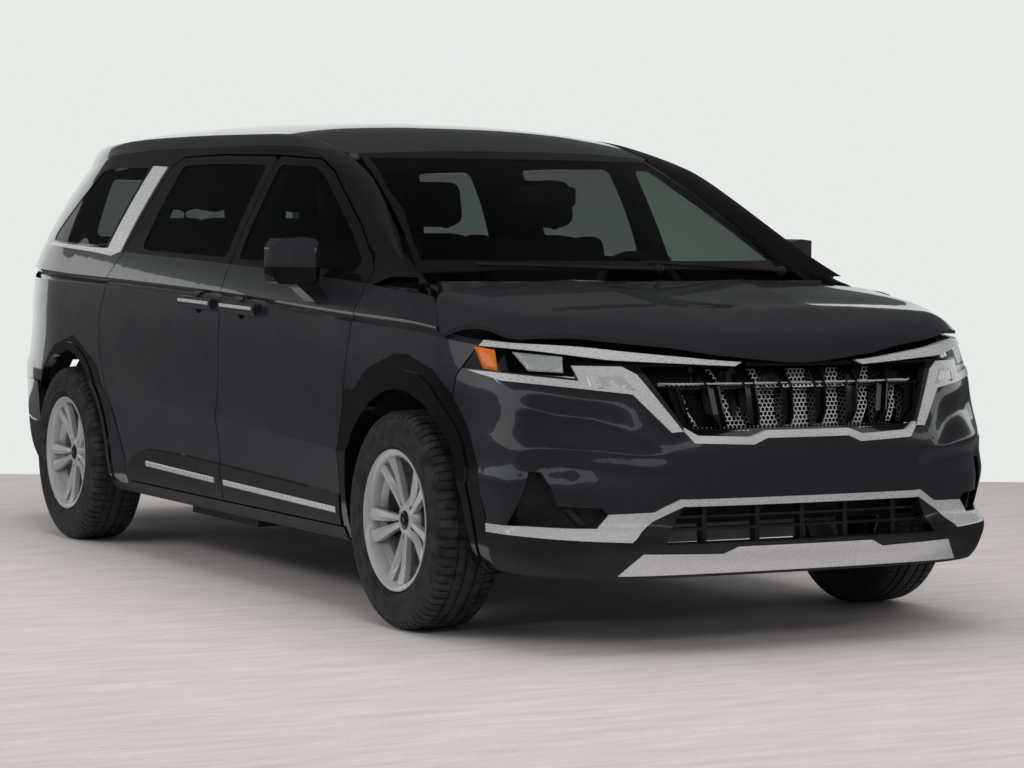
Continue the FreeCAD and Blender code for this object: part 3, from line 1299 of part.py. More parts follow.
def lower_intake():
    """Slats and uprights in the lower opening, and panels behind the side pockets with a fin each."""
    wall = nose_wall(bumper_thickness + trim_proud, bumper_thickness + rib_depth)
    opening = both_sides(front_points(intake_shares))
    bars = []
    for share in slat_shares:
        bars.append(nose_cut([(-X(0.6), Z(share)), (X(0.6), Z(share)), (X(0.6), Z(share) + slat_width),
                              (-X(0.6), Z(share) + slat_width)]))
    for share in upright_shares:
        a, b = X(share) - slat_width, X(share) + slat_width
        bars.append(nose_cut([(a, Z(0.19)), (b, Z(0.19)), (b, Z(0.28)), (a, Z(0.28))]))
    tool = fuse(bars)
    frame = nose_cut(grown(opening, panel_gap * 2)).cut(nose_cut(opening))
    bars = wall.common(tool.common(nose_cut(grown(opening, trim_fit))).fuse(frame))
    pocket = wall.common(nose_cut(grown(front_points(pocket_shares), panel_gap)))
    pocket = pocket.cut(nose_cut(grown(opening, panel_gap * 2)))
    pocket = pocket.cut(behind(Y(pocket_end_station_share)))
    fin = nose_wall(trim_depth, bumper_thickness + rib_depth / 2).common(nose_cut(front_points(pocket_fin_shares)))
    pocket = pocket.fuse(fin)
    keep("lower_intake", bars, pocket, mirrored(pocket))


pocket_fin_shares = [(0.715, 0.232), (0.735, 0.232), (0.775, 0.262), (0.755, 0.262)]


# Wheels

def turned(profile, x, y):
    """A solid turned round a wheel's axis from a profile of (radius, outward place)."""
    points = [V(x + a, y, hub_z + r) for r, a in profile]
    return Part.Face(Part.makePolygon(points + points[:1])).revolve(V(0, y, hub_z), V(1, 0, 0), 360)


def tyre(x, y, side):
    """A tyre turned from its section: beads, bulged walls, shoulders and a flat crown."""
    h, c = tyre_width / 2, tyre_shoulder
    rw = rim_width / 2
    mid = (tyre_bead_radius + tyre_radius) / 2
    profile = [(tyre_bead_radius, -rw), (tyre_bead_radius + c, -h + c / 4), (mid, -h), (tyre_radius - c, -h + c / 4),
               (tyre_radius - c / 4, -h + c * 3 / 4), (tyre_radius, -h + c * 3 / 2), (tyre_radius, h - c * 3 / 2),
               (tyre_radius - c / 4, h - c * 3 / 4), (tyre_radius - c, h - c / 4), (mid, h),
               (tyre_bead_radius + c, h - c / 4), (tyre_bead_radius, rw), (tyre_bead_radius - rim_barrel_wall, rw),
               (tyre_bead_radius - rim_barrel_wall, rw - c), (tyre_bead_radius, rw - c), (mid, h - c),
               (tyre_radius - c, h - c * 3 / 2), (tyre_radius - c, -h + c * 3 / 2), (mid, -h + c),
               (tyre_bead_radius, -rw + c), (tyre_bead_radius - rim_barrel_wall, -rw + c),
               (tyre_bead_radius - rim_barrel_wall, -rw)]
    return turned([(r, side * a) for r, a in profile], x, y)


hub_face = 45.0
spoke_face = 72.0
disc_offset = 2.0
disc_hat_radius = 84.0
running_fit = 0.08


def rim(x, y, side):
    """A wheel rim with paired twisted spokes, its hub, and the brake disc bolted to it."""
    rw = rim_width / 2
    bead = tyre_bead_radius - rim_barrel_wall - seal_fit
    wall = rim_barrel_wall
    flare = flange_flare
    profile = [(rim_flange_radius, -rw - wall - flare), (rim_flange_radius, -rw - flare), (bead, -rw - seal_fit),
               (bead, -rw + tyre_shoulder), (rim_well_radius, -rw + tyre_shoulder * 2),
               (rim_well_radius, rw - tyre_shoulder * 2), (bead, rw - tyre_shoulder), (bead, rw + seal_fit),
               (rim_flange_radius, rw + flare), (rim_flange_radius, rw + wall + flare), (bead - wall, rw + wall),
               (bead - wall, rw - tyre_shoulder), (rim_well_radius - wall, rw - tyre_shoulder * 2),
               (rim_well_radius - wall, -rw + tyre_shoulder * 2), (bead - wall, -rw + tyre_shoulder),
               (bead - wall, -rw - wall)]
    barrel = turned([(r, side * a) for r, a in profile], x, y)
    hub = turned([(0, side * hub_face), (hub_radius, side * hub_face), (hub_radius, side * spoke_face),
                  (hub_cap_radius, side * spoke_face), (hub_cap_radius, side * (spoke_face - wall)),
                  (0, side * (spoke_face - wall))], x, y)
    spokes = []
    tip = bead - wall / 2
    for k in range(spoke_pairs):
        for twist in (-1, 1):
            angle = 360 / spoke_pairs * k
            root, end = spoke_width * 0.62 * twist, spoke_width * 1.5 * twist
            points = [V(0, root - spoke_width * 0.36, hub_radius * 0.8), V(0, root + spoke_width * 0.36, hub_radius * 0.8),
                      V(0, end + spoke_width * 0.42, tip * 0.985), V(0, end - spoke_width * 0.42, tip * 0.985)]
            spoke = Part.Face(Part.makePolygon(points + points[:1])).extrude(V(spoke_depth, 0, 0))
            spoke.translate(V(spoke_face - spoke_depth, 0, 0))
            spoke.rotate(V(0, 0, 0), V(1, 0, 0), angle)
            spokes.append(spoke)
    star = fuse(spokes).common(Part.makeCylinder(tip, body_width, V(-half_width, 0, 0), V(1, 0, 0)))
    if side < 0:
        star = mirrored(star)
    star.translate(V(x, y, hub_z))
    disc = turned([(hub_bore_radius, side * (hub_face)), (disc_hat_radius, side * hub_face),
                   (disc_hat_radius, side * (disc_offset + disc_thickness)),
                   (disc_radius, side * (disc_offset + disc_thickness)), (disc_radius, side * disc_offset),
                   (disc_hat_radius - wall, side * disc_offset), (disc_hat_radius - wall, side * (hub_face - wall)),
                   (hub_bore_radius, side * (hub_face - wall))], x, y)
    return fuse([barrel, hub, star, disc])


def wheels():
    places = [("front_right", -1, front_axle_y), ("front_left", 1, front_axle_y),
              ("rear_right", -1, rear_axle_y), ("rear_left", 1, rear_axle_y)]
    for name, side, y in places:
        x = side * track / 2
        keep("tyre_" + name, tyre(x, y, side))
        keep("rim_" + name, rim(x, y, side))


# Steering knuckles, arms and axles

steer_low_x = 800.0
steer_low_z = 195.0
steer_top_x = 664.0
steer_top_z = 775.0
knuckle_half = 55.0
knuckle_depth = 40.0
strut_radius = 27.0
spring_radius = 50.0
ball_radius = 14.0
arm_depth = 36.0
subframe_half = 330.0


def steer_point(z):
    t = (z - steer_low_z) / (steer_top_z - steer_low_z)
    return steer_low_x + (steer_top_x - steer_low_x) * t


def knuckle(side):
    """Upright, stub, caliper and strut, made on the left and mirrored."""
    x = track / 2
    y = front_axle_y
    stub = Part.makeCylinder(hub_bore_radius - running_fit, knuckle_depth * 2 + hub_face - panel_gap,
                             V(x - knuckle_depth * 2, y, hub_z), V(1, 0, 0))
    top = V(steer_top_x, y, steer_top_z)
    low = V(steer_low_x, y, steer_low_z)
    axis = top - low
    axis.normalize()
    upright = box(x - knuckle_depth * 2, x - knuckle_depth, y - knuckle_half, y + knuckle_half,
                  steer_low_z + arm_depth / 2 + layer_gap, hub_z + hub_radius)
    boss_at = low + axis * (arm_depth / 2 + layer_gap)
    boss = Part.makeCylinder(strut_radius, hub_z - hub_radius - steer_low_z, boss_at, axis)
    foot = V(steer_point(hub_z + hub_radius), y, hub_z + hub_radius)
    bracket = box(foot.x - strut_radius, x - knuckle_depth, y - strut_radius, y + strut_radius,
                  hub_z, hub_z + hub_radius + strut_radius)
    strut = Part.makeCylinder(strut_radius, (top - foot).Length, foot - axis * strut_radius, axis)
    spring = Part.makeCylinder(spring_radius, (top - foot).Length * 0.42, foot + axis * (top - foot).Length * 0.48, axis)
    socket = Part.makeCylinder(ball_radius + running_fit, arm_depth, low, axis)
    caliper = box(x - knuckle_depth, x + disc_offset + disc_thickness + spoke_depth / 2, y + disc_radius * 0.60,
                  y + disc_radius * 1.12, hub_z - disc_radius * 0.45, hub_z + disc_radius * 0.45)
    slot = Part.makeCylinder(disc_radius + layer_gap, disc_thickness + panel_gap * 2,
                             V(x + disc_offset - panel_gap, y, hub_z), V(1, 0, 0))
    caliper = caliper.cut(slot)
    ear = box(x - knuckle_depth * 2, x - knuckle_depth, y, y + disc_radius * 1.1, hub_z - strut_radius,
              hub_z + strut_radius)
    whole = fuse([stub, upright, boss, bracket, strut, spring, caliper, ear])
    disc_space = Part.makeCylinder(disc_radius + layer_gap, disc_thickness + panel_gap * 2,
                                   V(x + disc_offset - panel_gap, y, hub_z), V(1, 0, 0))
    disc_space = disc_space.cut(Part.makeCylinder(hub_radius, body_width, V(0, y, hub_z), V(1, 0, 0)))
    return max(whole.cut(socket).cut(disc_space).Solids, key=lambda s: s.Volume)


def knuckles():
    left = knuckle(1)
    keep("front_knuckle_left", left)
    keep("front_knuckle_right", mirrored(left))


def front_subframe():
    """Cross frame with a lower arm to each knuckle and the ball studs at their ends."""
    frame = box(-subframe_half, subframe_half, front_axle_y - knuckle_half * 2, front_axle_y + knuckle_half * 4,
                ground_clearance, ground_clearance + arm_depth)
    arms = []
    for side in (-1, 1):
        arm = Part.Face(Part.makePolygon([V(side * (subframe_half - arm_depth), front_axle_y - knuckle_half, ground_clearance),
                                          V(side * (steer_low_x + strut_radius), front_axle_y - strut_radius, ground_clearance),
                                          V(side * (steer_low_x + strut_radius), front_axle_y + strut_radius, ground_clearance),
                                          V(side * (subframe_half - arm_depth), front_axle_y + knuckle_half * 3, ground_clearance),
                                          V(side * (subframe_half - arm_depth), front_axle_y - knuckle_half, ground_clearance)
                                          ])).extrude(V(0, 0, arm_depth))
        low = V(side * steer_low_x, front_axle_y, steer_low_z)
        axis = V(side * (steer_top_x - steer_low_x), 0, steer_top_z - steer_low_z)
        axis.normalize()
        stud = Part.makeCylinder(ball_radius, arm_depth - running_fit, low, axis)
        arms += [arm, stud]
    keep("front_subframe", fuse([frame] + arms))


def rear_axle():
    """Cross member, trailing arms, hub carriers with stubs and calipers."""
    beam = box(-track / 2 + tyre_width, track / 2 - tyre_width, rear_axle_y - knuckle_half, rear_axle_y + knuckle_half,
               hub_z - arm_depth * 2, hub_z)
    pieces = [beam]
    for side in (-1, 1):
        x = side * track / 2
        a, b = x - side * knuckle_depth * 4, x - side * knuckle_depth
        pieces.append(box(min(a, b), max(a, b), rear_axle_y - knuckle_half, rear_axle_y + knuckle_half,
                          hub_z - hub_radius, hub_z + hub_radius))
        stub = Part.makeCylinder(hub_bore_radius - running_fit, knuckle_depth * 2 + hub_face - panel_gap,
                                 V(x - side * knuckle_depth * 2, rear_axle_y, hub_z), V(side, 0, 0))
        pieces.append(stub)
        a, b = x - side * knuckle_depth * 4, x - side * tyre_width / 2 - side * layer_gap * 2
        pieces.append(box(min(a, b), max(a, b), rear_axle_y - disc_radius * 3, rear_axle_y, hub_z - arm_depth,
                          hub_z + arm_depth))
    keep("rear_axle", fuse(pieces))


# Floor, structure and power unit

floor_half = 770.0
floor_z = 262.0
load_floor_z = 440.0
well_wall = 8.0
well_inner_x = 560.0
firewall_y_share = 0.03
jack_station_shares = (0.20, 0.77)
jack_x = 715.0
jack_half = 35.0
jack_drop = 22.0


def wheel_house(y, x0, x1, radius, low):
    """A half-round housing over a wheel with its inner wall, down to a level."""
    outer = Part.makeCylinder(radius + well_wall, x1 - x0, V(x0, y, hub_z), V(1, 0, 0))
    inner = Part.makeCylinder(radius, x1 - x0, V(x0 + well_wall, y, hub_z), V(1, 0, 0))
    below = box(x0 - cutter_reach, x1 + cutter_reach, y - radius * 2, y + radius * 2, -cutter_reach, low)
    return outer.cut(inner).cut(below)


house_outer_x = 835.0


def floor_pan():
    """A low floor, a riser to the load floor behind it, and the rear wheel housings."""
    step = Y(load_floor_station_share)
    low = box(-floor_half, floor_half, Y(firewall_y_share), step, floor_z, floor_z + floor_thickness)
    for side in (-1, 1):
        a, b = side * (well_inner_x - layer_gap), side * half_width
        low = low.cut(box(min(a, b), max(a, b), -half_length, front_axle_y + arch_radius + floor_thickness, 0, hub_z))
    riser = box(-floor_half, floor_half, step - floor_thickness, step, floor_z, load_floor_z + floor_thickness)
    high = box(-floor_half, floor_half, step - floor_thickness, Y(1.70), load_floor_z, load_floor_z + floor_thickness)
    house = wheel_house(rear_axle_y, well_inner_x, house_outer_x, arch_radius + layer_gap, load_floor_z)
    hole = Part.makeCylinder(arch_radius + layer_gap, half_width, V(well_inner_x + well_wall, rear_axle_y, hub_z),
                             V(1, 0, 0))
    high = high.cut(hole).cut(mirrored(hole))
    pads = []
    for side in (-1, 1):
        for share in jack_station_shares:
            x, y = side * jack_x, Y(share)
            pads.append(box(x - jack_half, x + jack_half, y - jack_half, y + jack_half, floor_z - jack_drop, floor_z))
    keep("floor_pan", fuse([low, riser, high, house, mirrored(house)] + pads))


cowl_shares = [(0.018, 0.600), (0.018, 0.590), (0.045, 0.615), (0.045, 0.652), (0.040, 0.652)]


def front_structure():
    """Firewall, front wheel housings, side rails, cowl and the crossmember behind the bumper."""
    y1 = Y(firewall_y_share) - layer_gap
    y0 = y1 - floor_thickness
    wall = fuse([box(-well_inner_x, well_inner_x, y0, y1, floor_z, Z(0.60)),
                 box(-X(0.76), X(0.76), y0, y1, Z(0.47), Z(0.60))])
    house = wheel_house(front_axle_y, well_inner_x - layer_gap, house_outer_x, arch_radius + layer_gap * 2, Z(0.21))
    top = Z(0.54)
    house = house.cut(box(0, half_width * 2, Y(-1), Y(0.5), top, body_height))
    rail = box(subframe_half + layer_gap, subframe_half + layer_gap + knuckle_half * 1.5, Y(-0.86),
               Y(firewall_y_share) - floor_thickness, hub_z + hub_radius, hub_z + hub_radius * 2.4)
    cross = box(-X(0.55), X(0.55), Y(-0.84), Y(-0.80), hub_z + hub_radius / 2, hub_z + hub_radius * 3)
    cowl = side_prism(share_points(cowl_shares), 0, -X(0.76), X(0.76))
    pieces = [wall, house, mirrored(house), rail, mirrored(rail), cross, cowl]
    keep("front_structure", fuse(pieces))


engine_half = 300.0
engine_length = 420.0
engine_base_z = 300.0
engine_height = 470.0


def engine():
    y = front_axle_y - knuckle_half
    keep("engine", box(-engine_half, engine_half, y - engine_length, y, engine_base_z, engine_base_z + engine_height))


pipe_radius = 28.0
silencer_radius = 90.0
silencer_length = 620.0
silencer_station_share = 1.42
outlet_length = 330.0


def exhaust():
    """A pipe under the floor, a silencer across the tail and its outlet."""
    z = ground_clearance + pipe_radius + layer_gap
    end = Y(silencer_station_share)
    run = Part.makeCylinder(pipe_radius, end - Y(0.12), V(X(0.10), Y(0.12), z), V(0, 1, 0))
    silencer = Part.makeCylinder(silencer_radius, silencer_length, V(-silencer_length / 2, end, z + silencer_radius / 2),
                                 V(1, 0, 0))
    outlet = Part.makeCylinder(pipe_radius, outlet_length, V(-silencer_length / 3, end, z + silencer_radius / 2),
                               V(0, 1, -0.35))
    keep("exhaust", fuse([run, silencer, outlet]))


tank_length = 640.0
tank_width = 760.0


def fuel_tank():
    keep("fuel_tank", box(-tank_width, -tank_width / 4, Y(0.52), Y(0.52) + tank_length, ground_clearance + layer_gap,
                          floor_z - trim_fit))


# Cabin

seat_width = 520.0
seat_base_depth = 520.0
seat_cushion_height = 130.0
seat_back_height = 640.0
seat_back_depth = 130.0
seat_corner = 40.0
seat_x = 400.0
seat_riser = 240.0
headrest_width = 270.0
headrest_height = 180.0
seat_recline = 14.0
post_radius = 7.0


def soft_box(x0, x1, y0, y1, z0, z1):
    block = box(x0, x1, y0, y1, z0, z1)
    return block.makeFillet(seat_corner, block.Edges)


def seat(x, y, width, floor, rise_by):
    """Riser, cushion, reclined back and headrest of one seat, front edge at y."""
    base = floor + floor_thickness + trim_fit
    riser = box(x - width * 0.36, x + width * 0.36, y + seat_corner, y + seat_base_depth - seat_corner, base,
                base + rise_by)
    top = base + rise_by
    cushion = soft_box(x - width / 2, x + width / 2, y, y + seat_base_depth, top, top + seat_cushion_height)
    back = soft_box(x - width / 2, x + width / 2, y + seat_base_depth - seat_back_depth, y + seat_base_depth,
                    top + seat_cushion_height + seal_fit, top + seat_cushion_height + seat_back_height)
    head = soft_box(x - headrest_width / 2, x + headrest_width / 2, y + seat_base_depth - seat_back_depth,
                    y + seat_base_depth - seat_corner / 2, top + seat_cushion_height + seat_back_height + seat_corner,
                    top + seat_cushion_height + seat_back_height + seat_corner + headrest_height)
    pivot = V(x, y + seat_base_depth - seat_back_depth, top + seat_cushion_height)
    upper = back.fuse(head)
    posts = [Part.makeCylinder(post_radius, seat_corner * 3, V(x + k * headrest_width / 4,
                                                               y + seat_base_depth - seat_back_depth / 2,
                                                               top + seat_cushion_height + seat_back_height - seat_corner),
                               V(0, 0, 1)) for k in (-1, 1)]
    upper = fuse([back, head] + posts)
    upper.rotate(pivot, V(1, 0, 0), -seat_recline)
    lower = fuse([riser, cushion])
    upper = upper.cut(lower)
    return [lower, upper]


def front_seats():
    parts = []
    for side in (-1, 1):
        parts += seat(side * seat_x, Y(0.30), seat_width, floor_z, seat_riser)
    keep("front_seats", *parts)


def rear_seats():
    parts = []
    for x in (-seat_x, seat_x):
        parts += seat(x, Y(0.60), seat_width, floor_z, seat_riser)
    for x in (-seat_width / 2, seat_width / 2):
        parts += seat(x, Y(0.90), seat_width * 0.98, load_floor_z, seat_riser / 2)
    keep("rear_seats", *parts)


dash_half = 740.0
dash_shares = [(0.058, 0.475), (0.058, 0.635), (0.10, 0.645), (0.19, 0.625), (0.205, 0.59), (0.17, 0.50), (0.10, 0.465)]
console_half = 120.0
console_shares = [(0.09, 0.175), (0.09, 0.50), (0.17, 0.50), (0.205, 0.40), (0.30, 0.36), (0.44, 0.37), (0.46, 0.175)]


def dashboard():
    """The dash across the cabin and the console between the front seats."""
    dash = side_prism(share_points(dash_shares), seat_corner / 2, -dash_half, dash_half)
    console = side_prism(share_points(console_shares), seat_corner / 2, -console_half, console_half)
    keep("dashboard", dash.fuse(console))


steering_wheel_radius = 186.0
steering_rim_radius = 15.0
steering_tilt = 24.0


def steering_wheel():
    centre = V(seat_x, Y(0.245), Z(0.60))
    ring = Part.makeTorus(steering_wheel_radius, steering_rim_radius, V(0, 0, 0), V(0, 0, 1))
    hub = Part.makeCylinder(steering_rim_radius * 4, steering_rim_radius * 3, V(0, 0, -steering_rim_radius * 1.5))
    spokes = [box(-steering_wheel_radius, steering_wheel_radius, -steering_rim_radius, steering_rim_radius,
                  -steering_rim_radius / 2, steering_rim_radius / 2),
              box(-steering_rim_radius, steering_rim_radius, -steering_wheel_radius, 0,
                  -steering_rim_radius / 2, steering_rim_radius / 2)]
    column = Part.makeCylinder(steering_rim_radius * 2, steering_wheel_radius * 0.75, V(0, 0, 0), V(0, 0, 1))
    wheel = fuse([ring, hub] + spokes + [column])
    wheel.rotate(V(0, 0, 0), V(1, 0, 0), 90 - steering_tilt)
    wheel.translate(centre)
    keep("steering_wheel", wheel)


# Door mirrors

mirror_y_share = 0.2270
mirror_depth = 175.0
mirror_corner = 14.0


def mirrors():
    """A rounded housing with its glass side to the rear, on a stalk from the door's shoulder."""
    y = Y(mirror_y_share)
    y0, y1 = y - mirror_depth * 0.55, y + mirror_depth * 0.45
    front = front_prism(front_points(mirror_shares), mirror_corner, y0, y1)
    plan = top_prism([(X(a), y + mirror_depth * b) for a, b in mirror_plan_shares], mirror_corner, Z(0.5), Z(0.9))
    side = side_prism([(y + mirror_depth * b, Z(z)) for b, z in mirror_side_shares], mirror_corner, 0, half_width * 2)
    shell = front.common(plan).common(side)
    stalk = front_prism(front_points(stalk_shares), 0, y - mirror_depth * 0.45, y + mirror_depth * 0.05)
    mirror = shell.fuse(stalk).cut(nodes["front_door_left"][0]).cut(nodes["front_door_left_glass"][0])
    mirror = max(mirror.Solids, key=lambda s: s.Volume)
    keep("mirror_left", mirror)
    keep("mirror_right", mirrored(mirror))


mirror_shares = [(0.962, 0.6420), (0.958, 0.700), (0.975, 0.7280), (1.020, 0.7340), (1.085, 0.7300), (1.109, 0.7120),
                 (1.112, 0.6600), (1.094, 0.6400)]
mirror_plan_shares = [(0.945, -0.25), (0.985, -0.52), (1.06, -0.40), (1.106, 0.05), (1.114, 0.45), (0.955, 0.45)]
mirror_side_shares = [(-0.55, 0.655), (-0.50, 0.715), (-0.30, 0.736), (0.45, 0.736), (0.45, 0.638), (-0.45, 0.638)]
stalk_shares = [(0.900, 0.6060), (0.900, 0.6260), (0.955, 0.6260), (0.975, 0.6440), (1.060, 0.6440), (1.040, 0.6330),
                (0.985, 0.6060)]


def build():
    for make in (front_doors, sliding_doors, rear_side_glass, body_sides, fenders, arch_trims, sill_trims,
                 pillar_trims, windscreen, roof_panel, tailgate, tail_lamps, wipers, rear_bumper, bonnet, front_bumper, front_lip,
                 front_trim, headlamps, grille, lower_intake, wheels, knuckles, front_subframe, rear_axle,
                 floor_pan, front_structure, engine, exhaust, fuel_tank, front_seats, rear_seats, dashboard,
                 steering_wheel, mirrors):
        make()
    os.makedirs("parts", exist_ok=True)
    for name in nodes:
        Part.makeCompound(nodes[name]).exportStep("parts/" + name + ".step")


build()
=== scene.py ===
import math
import random
import bpy
import bmesh
from mathutils import Matrix, Vector
from mathutils.bvhtree import BVHTree


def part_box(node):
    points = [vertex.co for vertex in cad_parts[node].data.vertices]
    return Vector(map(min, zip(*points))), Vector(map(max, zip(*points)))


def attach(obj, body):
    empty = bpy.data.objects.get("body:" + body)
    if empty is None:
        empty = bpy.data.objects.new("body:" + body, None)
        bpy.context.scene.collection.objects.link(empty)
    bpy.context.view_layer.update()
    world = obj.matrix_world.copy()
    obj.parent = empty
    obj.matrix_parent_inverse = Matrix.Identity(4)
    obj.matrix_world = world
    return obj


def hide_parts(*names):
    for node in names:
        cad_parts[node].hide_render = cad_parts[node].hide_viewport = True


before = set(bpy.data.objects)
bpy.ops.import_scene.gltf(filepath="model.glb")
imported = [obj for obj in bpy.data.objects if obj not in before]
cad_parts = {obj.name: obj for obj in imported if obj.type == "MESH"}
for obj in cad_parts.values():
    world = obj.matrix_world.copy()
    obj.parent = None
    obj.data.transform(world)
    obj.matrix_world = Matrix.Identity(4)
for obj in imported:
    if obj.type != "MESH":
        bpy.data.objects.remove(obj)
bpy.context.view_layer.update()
random.seed(7)

# Camera
# Stands where the photograph was taken, ahead of the van and to its right, with a long lens.

eye = Vector((-5.3007, -10.4528, 1.3342))
yaw, pitch, roll = math.radians(28.332), math.radians(3.095), math.radians(0.471)
focal_pixels = 3034.04
photo_width, photo_height = 1024, 768
look = Vector((math.sin(yaw) * math.cos(pitch), math.cos(yaw) * math.cos(pitch), -math.sin(pitch)))
level = Vector((math.cos(yaw), -math.sin(yaw), 0))
steep = level.cross(look)
right = math.cos(roll) * level + math.sin(roll) * steep
upward = math.cos(roll) * steep - math.sin(roll) * level
camera = bpy.data.objects.new("camera", bpy.data.cameras.new("camera"))
camera.data.sensor_width = 36.0
camera.data.lens = focal_pixels * camera.data.sensor_width / photo_width
camera.matrix_world = Matrix((right, upward, -look)).transposed().to_4x4()
camera.matrix_world.translation = eye
bpy.context.collection.objects.link(camera)
bpy.context.scene.camera = camera

surfaces = {}
beside_van, ahead_of_van = 2.0, 4.0


def touch(start, aim, *names):
    """Nearest place and outward direction where a straight line meets the named CAD pieces."""
    best = None
    for name in names:
        if name not in surfaces:
            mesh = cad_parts[name].data
            surfaces[name] = BVHTree.FromPolygons([v.co for v in mesh.vertices],
                                                  [p.vertices for p in mesh.polygons])
        spot, normal, _, far = surfaces[name].ray_cast(Vector(start), Vector(aim))
        if spot is not None and (best is None or far < best[2]):
            best = (spot, -normal if normal.dot(Vector(aim)) > 0 else normal, far)
    return best[:2] if best else None


def seen(px, py, *names):
    """The same along the camera's view through a pixel of the photograph."""
    aim = look * focal_pixels + right * (px - photo_width / 2) - upward * (py - photo_height / 2)
    return touch(eye, aim.normalized(), *names)


def on_side(y, z, side, *names):
    return touch((side * beside_van, y, z), (-side, 0, 0), *names)


def on_front(x, z, *names):
    return touch((x, -ahead_of_van, z), (0, 1, 0), *names)


# Car paint
# Dark slate-grey metallic under clear coat: fine flakes, a slight orange peel, and dust low on the body.
# The panels are pressed steel and moulded bumpers, sprayed alike.


def srgb(code):
    parts = [int(code[i:i + 2], 16) / 255 for i in (0, 2, 4)]
    return tuple(c / 12.92 if c <= 0.04045 else ((c + 0.055) / 1.055) ** 2.4 for c in parts) + (1.0,)


def add(tree, kind, inputs=(), **options):
    """Adds a node, sets its options, and links or sets its inputs."""
    made = tree.nodes.new("ShaderNode" + kind)
    for name, value in options.items():
        setattr(made, name, value)
    for key, value in dict(inputs).items():
        socket = made.inputs[key]
        if isinstance(value, bpy.types.NodeSocket):
            tree.links.new(value, socket)
        else:
            socket.default_value = value
    return made


def material(name):
    made = bpy.data.materials.new(name)
    made.use_nodes = True
    made.node_tree.nodes.clear()
    return made, made.node_tree


def finish_material(made, shader):
    out = add(made.node_tree, "OutputMaterial", {"Surface": shader})
    out.is_active_output = True
    return made


def place(tree):
    """Position in the frame of the part at rest, also when its body has moved."""
    return add(tree, "TexCoord").outputs["Object"]


def noise(tree, scale, detail=3.0, rough=0.5, vector=None):
    return add(tree, "TexNoise", {"Vector": vector or place(tree), "Scale": scale, "Detail": detail,
                                  "Roughness": rough}).outputs["Fac"]


def ramp(tree, value, low, high, from_value=0.0, to_value=1.0):
    return add(tree, "MapRange", {"Value": value, "From Min": low, "From Max": high, "To Min": from_value,
                                  "To Max": to_value}).outputs["Result"]


def mix_colour(tree, amount, a, b):
    made = add(tree, "Mix", {0: amount, 6: a, 7: b}, data_type="RGBA")
    return made.outputs[2]


def bump(tree, height, distance, strength=1.0, normal=None):
    inputs = {"Height": height, "Distance": distance, "Strength": strength}
    if normal is not None:
        inputs["Normal"] = normal
    return add(tree, "Bump", inputs).outputs["Normal"]


def math_of(tree, operation, a, b=0.0):
    return add(tree, "Math", {0: a, 1: b}, operation=operation).outputs[0]


def shader_of(tree, **values):
    return add(tree, "BsdfPrincipled", {k.replace("_", " "): v for k, v in values.items()}).outputs["BSDF"]


def mesh_piece(name, build, body, surface, smooth=True):
    """Makes a piece from a bmesh that build() fills, in metres at its place."""
    shape = bmesh.new()
    build(shape)
    mesh = bpy.data.meshes.new(name)
    shape.to_mesh(mesh)
    shape.free()
    piece = bpy.data.objects.new(name, mesh)
    bpy.context.collection.objects.link(piece)
    mesh.materials.append(surface)
    for face in mesh.polygons:
        face.use_smooth = smooth
    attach(piece, body)
    return piece


def finish(surface, *names):
    """Gives CAD pieces their real finish."""
    for name in names:
        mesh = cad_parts[name].data
        mesh.materials.clear()
        mesh.materials.append(surface)


# Patterns are given as how many fit in a metre. The flakes are 0.7 mm apart, coarser than real ones, so
# that they show.
flakes_per_metre, peel_per_metre = 1500.0, 260.0
clouds_per_metre, dust_per_metre, smears_per_metre = 3.0, 18.0, 7.0
peel_depth, dust_top, dust_full = 0.00002, 0.55, 0.25


def paint_shader(tree):
    spot = place(tree)
    flakes = add(tree, "TexVoronoi", {"Vector": spot, "Scale": flakes_per_metre}).outputs["Color"]
    sparkle = add(tree, "SeparateColor", {0: flakes}).outputs[0]
    cloud = noise(tree, clouds_per_metre, 4.0)
    base = mix_colour(tree, ramp(tree, sparkle, 0.55, 1.0), srgb("2d2f35"), srgb("575a62"))
    base = mix_colour(tree, ramp(tree, cloud, 0.3, 0.75, 0.0, 0.25), base, srgb("34363c"))
    height = add(tree, "SeparateXYZ", {0: spot}).outputs[2]
    patches = ramp(tree, noise(tree, dust_per_metre, 6.0), 0.45, 0.8)
    dust = math_of(tree, "MULTIPLY", ramp(tree, height, dust_top, dust_full), patches)
    base = mix_colour(tree, math_of(tree, "MULTIPLY", dust, 0.08), base, srgb("6d6a66"))
    peel = bump(tree, noise(tree, peel_per_metre, 2.0), peel_depth, 0.12)
    rough = ramp(tree, noise(tree, smears_per_metre, 5.0), 0.2, 0.8, 0.24, 0.34)
    return shader_of(tree, Base_Color=base, Metallic=0.65, Roughness=rough, Coat_Weight=1.0,
                     Coat_Roughness=math_of(tree, "ADD", 0.02, math_of(tree, "MULTIPLY", dust, 0.10)),
                     Coat_Normal=peel)


black_smears_per_metre, ripples_per_metre, ripple_depth = 14.0, 220.0, 0.00003


def gloss_black_shader(tree):
    smear = noise(tree, black_smears_per_metre, 5.0)
    return shader_of(tree, Base_Color=mix_colour(tree, smear, srgb("070708"), srgb("0e0e10")),
                     Roughness=ramp(tree, smear, 0.3, 0.8, 0.06, 0.16), Coat_Weight=0.6, Coat_Roughness=0.03,
                     Normal=bump(tree, noise(tree, ripples_per_metre, 2.0), ripple_depth, 0.2))


# The moulded grain is 1.1 mm across and a quarter of a millimetre deep.
grains_per_metre, wear_per_metre, grain_depth = 900.0, 9.0, 0.00025


